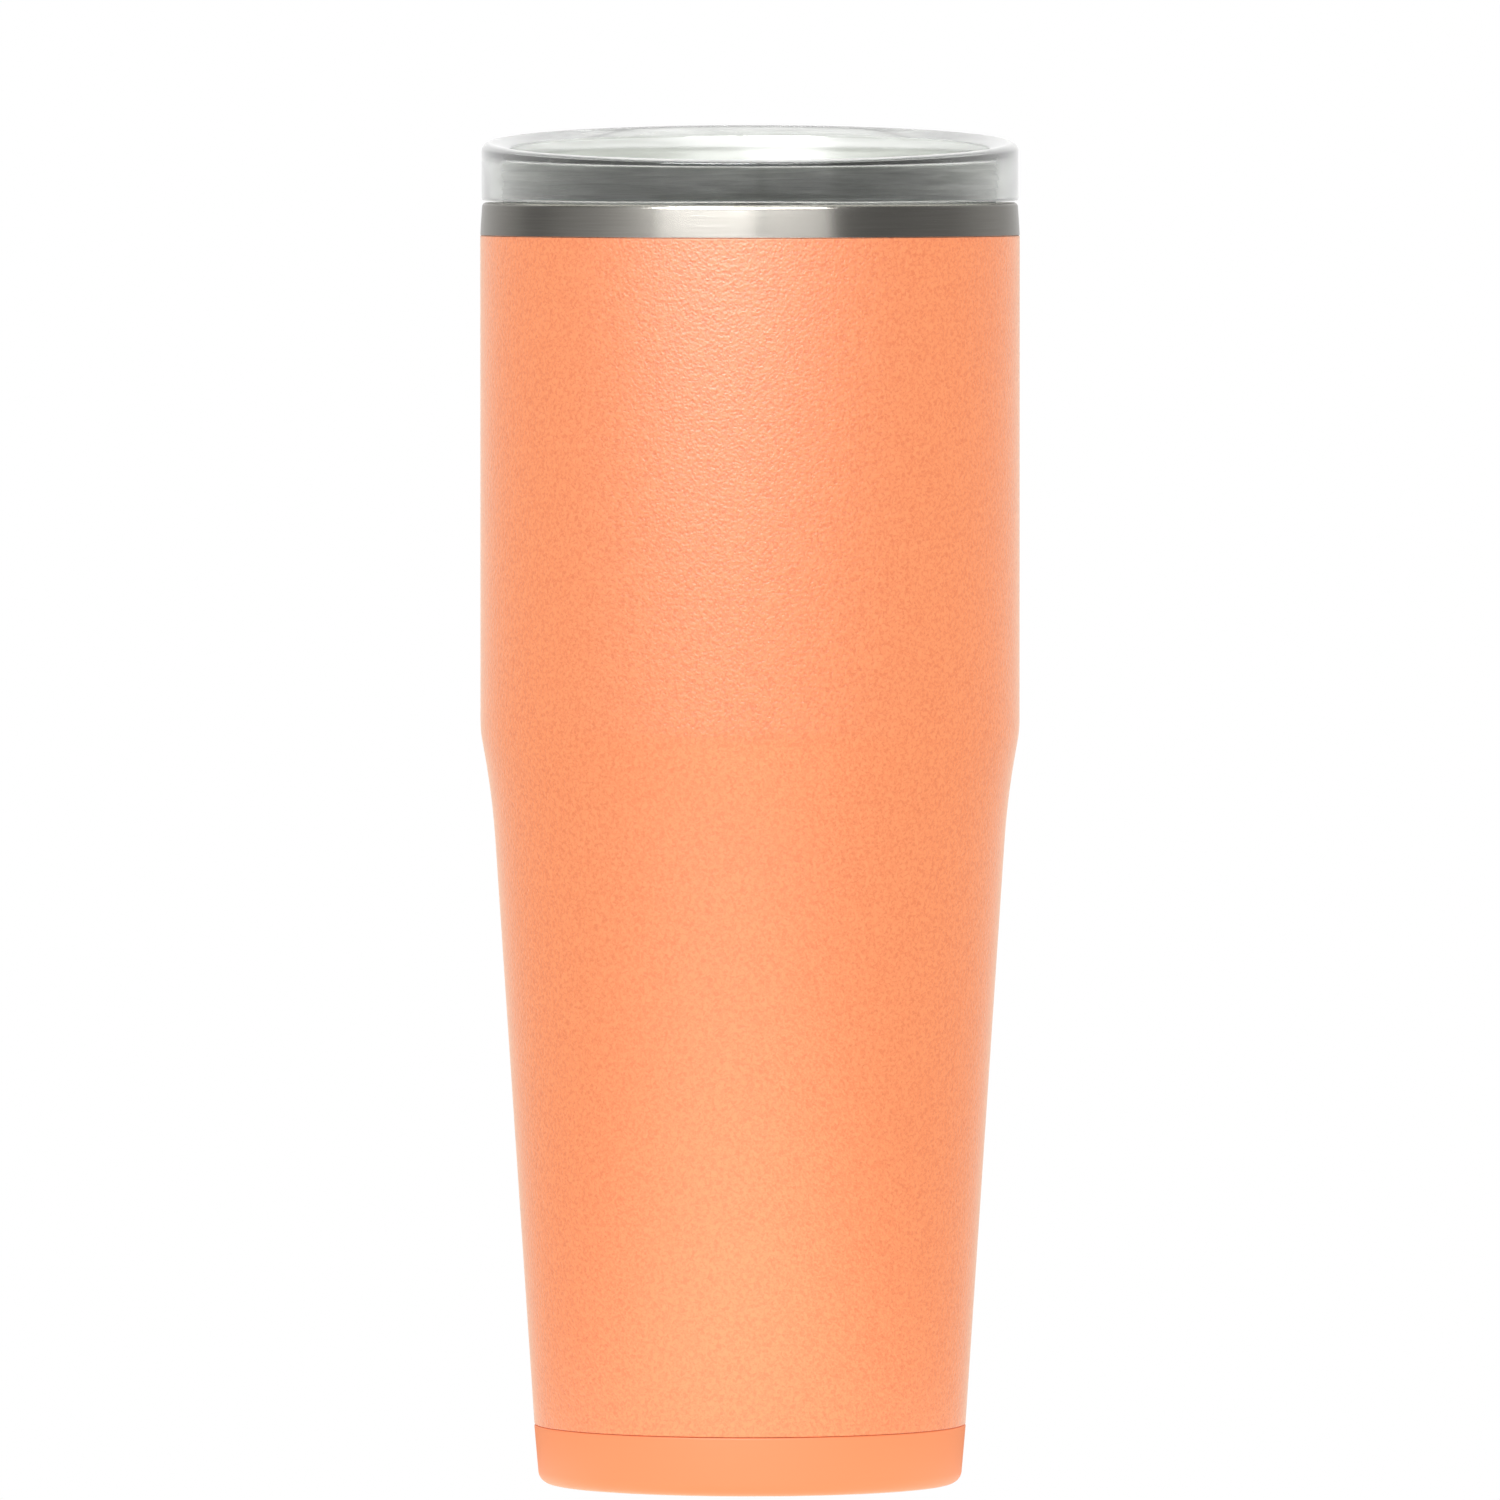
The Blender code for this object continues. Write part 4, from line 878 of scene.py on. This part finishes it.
port_pad = rounded_block(
    "port_pad", seal_high.x - seal_low.x, seal_low.y, seal_high.y, seal_low.z, seal_low.z + PAD_THICK,
    PAD_ROUND, PAD_ROUND, edge=PAD_EDGE,
)
smooth(port_pad)
dress(port_pad, grey_silicone)
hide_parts("slider_seal")
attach(port_pad, "slider")

# ---------------------------------------------------------------------------------------------------------
# Studio
# A white sweep under the cup, two pairs of softboxes in front of it, and a ring of cards round its sides and
# back: near black on the right, dark to mid grey on the left, near white behind. Only reflections show it.
# The sweep glows, with a painted pool of light just in front of the cup that only reflections see, and the
# cards glow as painted light.
# ---------------------------------------------------------------------------------------------------------

FLOOR_SIZE = 120
# The painted pool of light on the floor: its glow for reflections far off and at its core, where it sits and
# how far it reaches.
FLOOR_FAR = 0.15
FLOOR_LIGHT_POOL = 6.0
FLOOR_FILL = 1.08
LIGHT_POOL_PLACE = (0.02, 0.17, 0)
LIGHT_POOL_CORE = 0.03
LIGHT_POOL_REACH = 0.24
WORLD_FILL = 1.18
WORLD_MIRRORED = 0.15
RING_RADIUS = 1.1
RING_HEIGHT = 2.6
RING_GAP = (-42, 35)

bpy.ops.object.select_all(action="DESELECT")
bpy.ops.mesh.primitive_plane_add(size=FLOOR_SIZE, location=(0, 0, 0))
floor = bpy.context.object
floor.name = floor.data.name = "floor"
sweep = bpy.data.materials.new("white_sweep_with_painted_light_pool")
sweep.use_nodes = True
tree = sweep.node_tree
tree.nodes.clear()
path = node(tree, "ShaderNodeLightPath")
place = node(tree, "ShaderNodeTexCoord")
# Painted pool of light: reflections see the floor glow brightest just in front of the cup, fading out with
# distance.
centred = node(
    tree, "ShaderNodeMapping", {"Vector": place.outputs["Object"], "Location": LIGHT_POOL_PLACE}
)
reach = node(tree, "ShaderNodeVectorMath", {0: centred.outputs[0]}, operation="LENGTH")
painted_light_pool = node(
    tree, "ShaderNodeMapRange",
    {"Value": reach.outputs["Value"], "From Min": LIGHT_POOL_CORE, "From Max": LIGHT_POOL_REACH, "To Min": FLOOR_LIGHT_POOL,
     "To Max": FLOOR_FAR}, interpolation_type="SMOOTHSTEP",
)
mirrored = node(
    tree, "ShaderNodeMath", {0: path.outputs["Is Glossy Ray"], 1: path.outputs["Is Transmission Ray"]},
    operation="SUBTRACT",
)
shiny = node(
    tree, "ShaderNodeMix",
    {"Factor": mirrored.outputs[0], 2: FLOOR_FILL, 3: painted_light_pool.outputs["Result"]}, data_type="FLOAT",
)
seen = node(
    tree, "ShaderNodeMix", {"Factor": path.outputs["Is Camera Ray"], 2: shiny.outputs[0], 3: 1.0},
    data_type="FLOAT",
)
glow = node(tree, "ShaderNodeEmission", {"Color": (1, 1, 1, 1), "Strength": seen.outputs[0]})
node(tree, "ShaderNodeOutputMaterial", {"Surface": glow.outputs[0]})
dress(floor, sweep)


def softbox(name, azimuth, width, low, high, glow):
    """An upright area light that faces the cup. Azimuth 0 is towards the camera, and grows to the right."""
    angle = math.radians(azimuth)
    bpy.ops.object.light_add(
        type="AREA",
        location=(SOFTBOX_AWAY * math.sin(angle), -SOFTBOX_AWAY * math.cos(angle), (low + high) / 2),
        rotation=(math.radians(90), 0, angle),
    )
    light = bpy.context.object
    light.name = light.data.name = name
    light.data.shape = "RECTANGLE"
    light.data.size = width
    light.data.size_y = high - low
    light.data.energy = glow * math.pi * width * (high - low)
    light.visible_camera = light.visible_diffuse = light.visible_transmission = False


SOFTBOX_AWAY = 1.2
LEFT_BOX = (-18.7, 0.97)
RIGHT_BOX = (20.4, 0.60)
LOW = (0.12, 0.5)
HIGH = (0.75, 1.8)
softbox("softbox_left_low", *LEFT_BOX, *LOW, glow=0.72)
softbox("softbox_right_low", *RIGHT_BOX, *LOW, glow=0.62)
softbox("softbox_left_high", *LEFT_BOX, *HIGH, glow=24.0)
softbox("softbox_right_high", *RIGHT_BOX, *HIGH, glow=10.0)

# The ring is drawn as an upright line and spun round from one softbox to the other.
ring = edit_new("glowing_card_ring")
start = math.radians(RING_GAP[1])
bpy.ops.transform.translate(value=(RING_RADIUS * math.sin(start), -RING_RADIUS * math.cos(start), 0))
bpy.ops.mesh.extrude_region_move(TRANSFORM_OT_translate={"value": (0, 0, RING_HEIGHT)})
bpy.ops.mesh.select_all(action="SELECT")
bpy.ops.mesh.spin(
    steps=96, angle=-math.radians(360 - RING_GAP[1] + RING_GAP[0]), center=(0, 0, 0), axis=(0, 0, 1)
)
bpy.ops.object.mode_set(mode="OBJECT")
# Painted light: the cards are no lamps but glow, each at the level listed for its azimuth, and only
# reflections see them.
CARD_GLOW_STOPS = (
    (35, 0.10), (60, 0.11), (95, 0.16), (118, 0.28), (140, 0.36), (165, 0.55), (180, 0.9),
    (195, 0.55), (220, 0.4), (240, 0.26), (252, 0.15), (262, 0.15), (275, 0.22), (292, 0.29), (306, 0.42),
    (318, 0.55),
)
glowing_cards = bpy.data.materials.new("glowing_graded_cards")
glowing_cards.use_nodes = True
tree = glowing_cards.node_tree
tree.nodes.clear()
place = node(tree, "ShaderNodeTexCoord")
spread = node(
    tree, "ShaderNodeMapping", {"Vector": place.outputs["Object"], "Rotation": (0, 0, math.radians(-90))}
)
angle = node(tree, "ShaderNodeTexGradient", {"Vector": spread.outputs[0]}, gradient_type="RADIAL")
ramp = node(tree, "ShaderNodeValToRGB", {"Fac": angle.outputs["Fac"]})
stops = ramp.color_ramp.elements
stops.remove(stops[1])
stops[0].color = (1, 1, 1, 1)
for azimuth, level in CARD_GLOW_STOPS:
    stops.new(azimuth / 360).color = (level, level, level, 1)
glow = node(tree, "ShaderNodeEmission", {"Color": ramp.outputs["Color"]})
node(tree, "ShaderNodeOutputMaterial", {"Surface": glow.outputs[0]})
dress(ring, glowing_cards)
ring.visible_camera = ring.visible_diffuse = ring.visible_transmission = ring.visible_shadow = False

world = bpy.data.worlds.new("white_room")
bpy.context.scene.world = world
world.use_nodes = True
tree = world.node_tree
tree.nodes.clear()
path = node(tree, "ShaderNodeLightPath")
mirrored = node(
    tree, "ShaderNodeMath", {0: path.outputs["Is Glossy Ray"], 1: path.outputs["Is Transmission Ray"]},
    operation="SUBTRACT",
)
shiny = node(
    tree, "ShaderNodeMix", {"Factor": mirrored.outputs[0], 2: 1.0, 3: WORLD_MIRRORED}, data_type="FLOAT"
)
soft = node(
    tree, "ShaderNodeMix",
    {"Factor": path.outputs["Is Diffuse Ray"], 2: shiny.outputs[0], 3: WORLD_FILL}, data_type="FLOAT",
)
seen = node(
    tree, "ShaderNodeMix", {"Factor": path.outputs["Is Camera Ray"], 2: soft.outputs[0], 3: 1.0},
    data_type="FLOAT",
)
air = node(tree, "ShaderNodeBackground", {"Color": (1, 1, 1, 1), "Strength": seen.outputs[0]})
node(tree, "ShaderNodeOutputWorld", {"Surface": air.outputs[0]})
bpy.context.scene.view_settings.view_transform = "Standard"
bpy.context.scene.cycles.max_bounces = 24
bpy.context.scene.cycles.transmission_bounces = 24
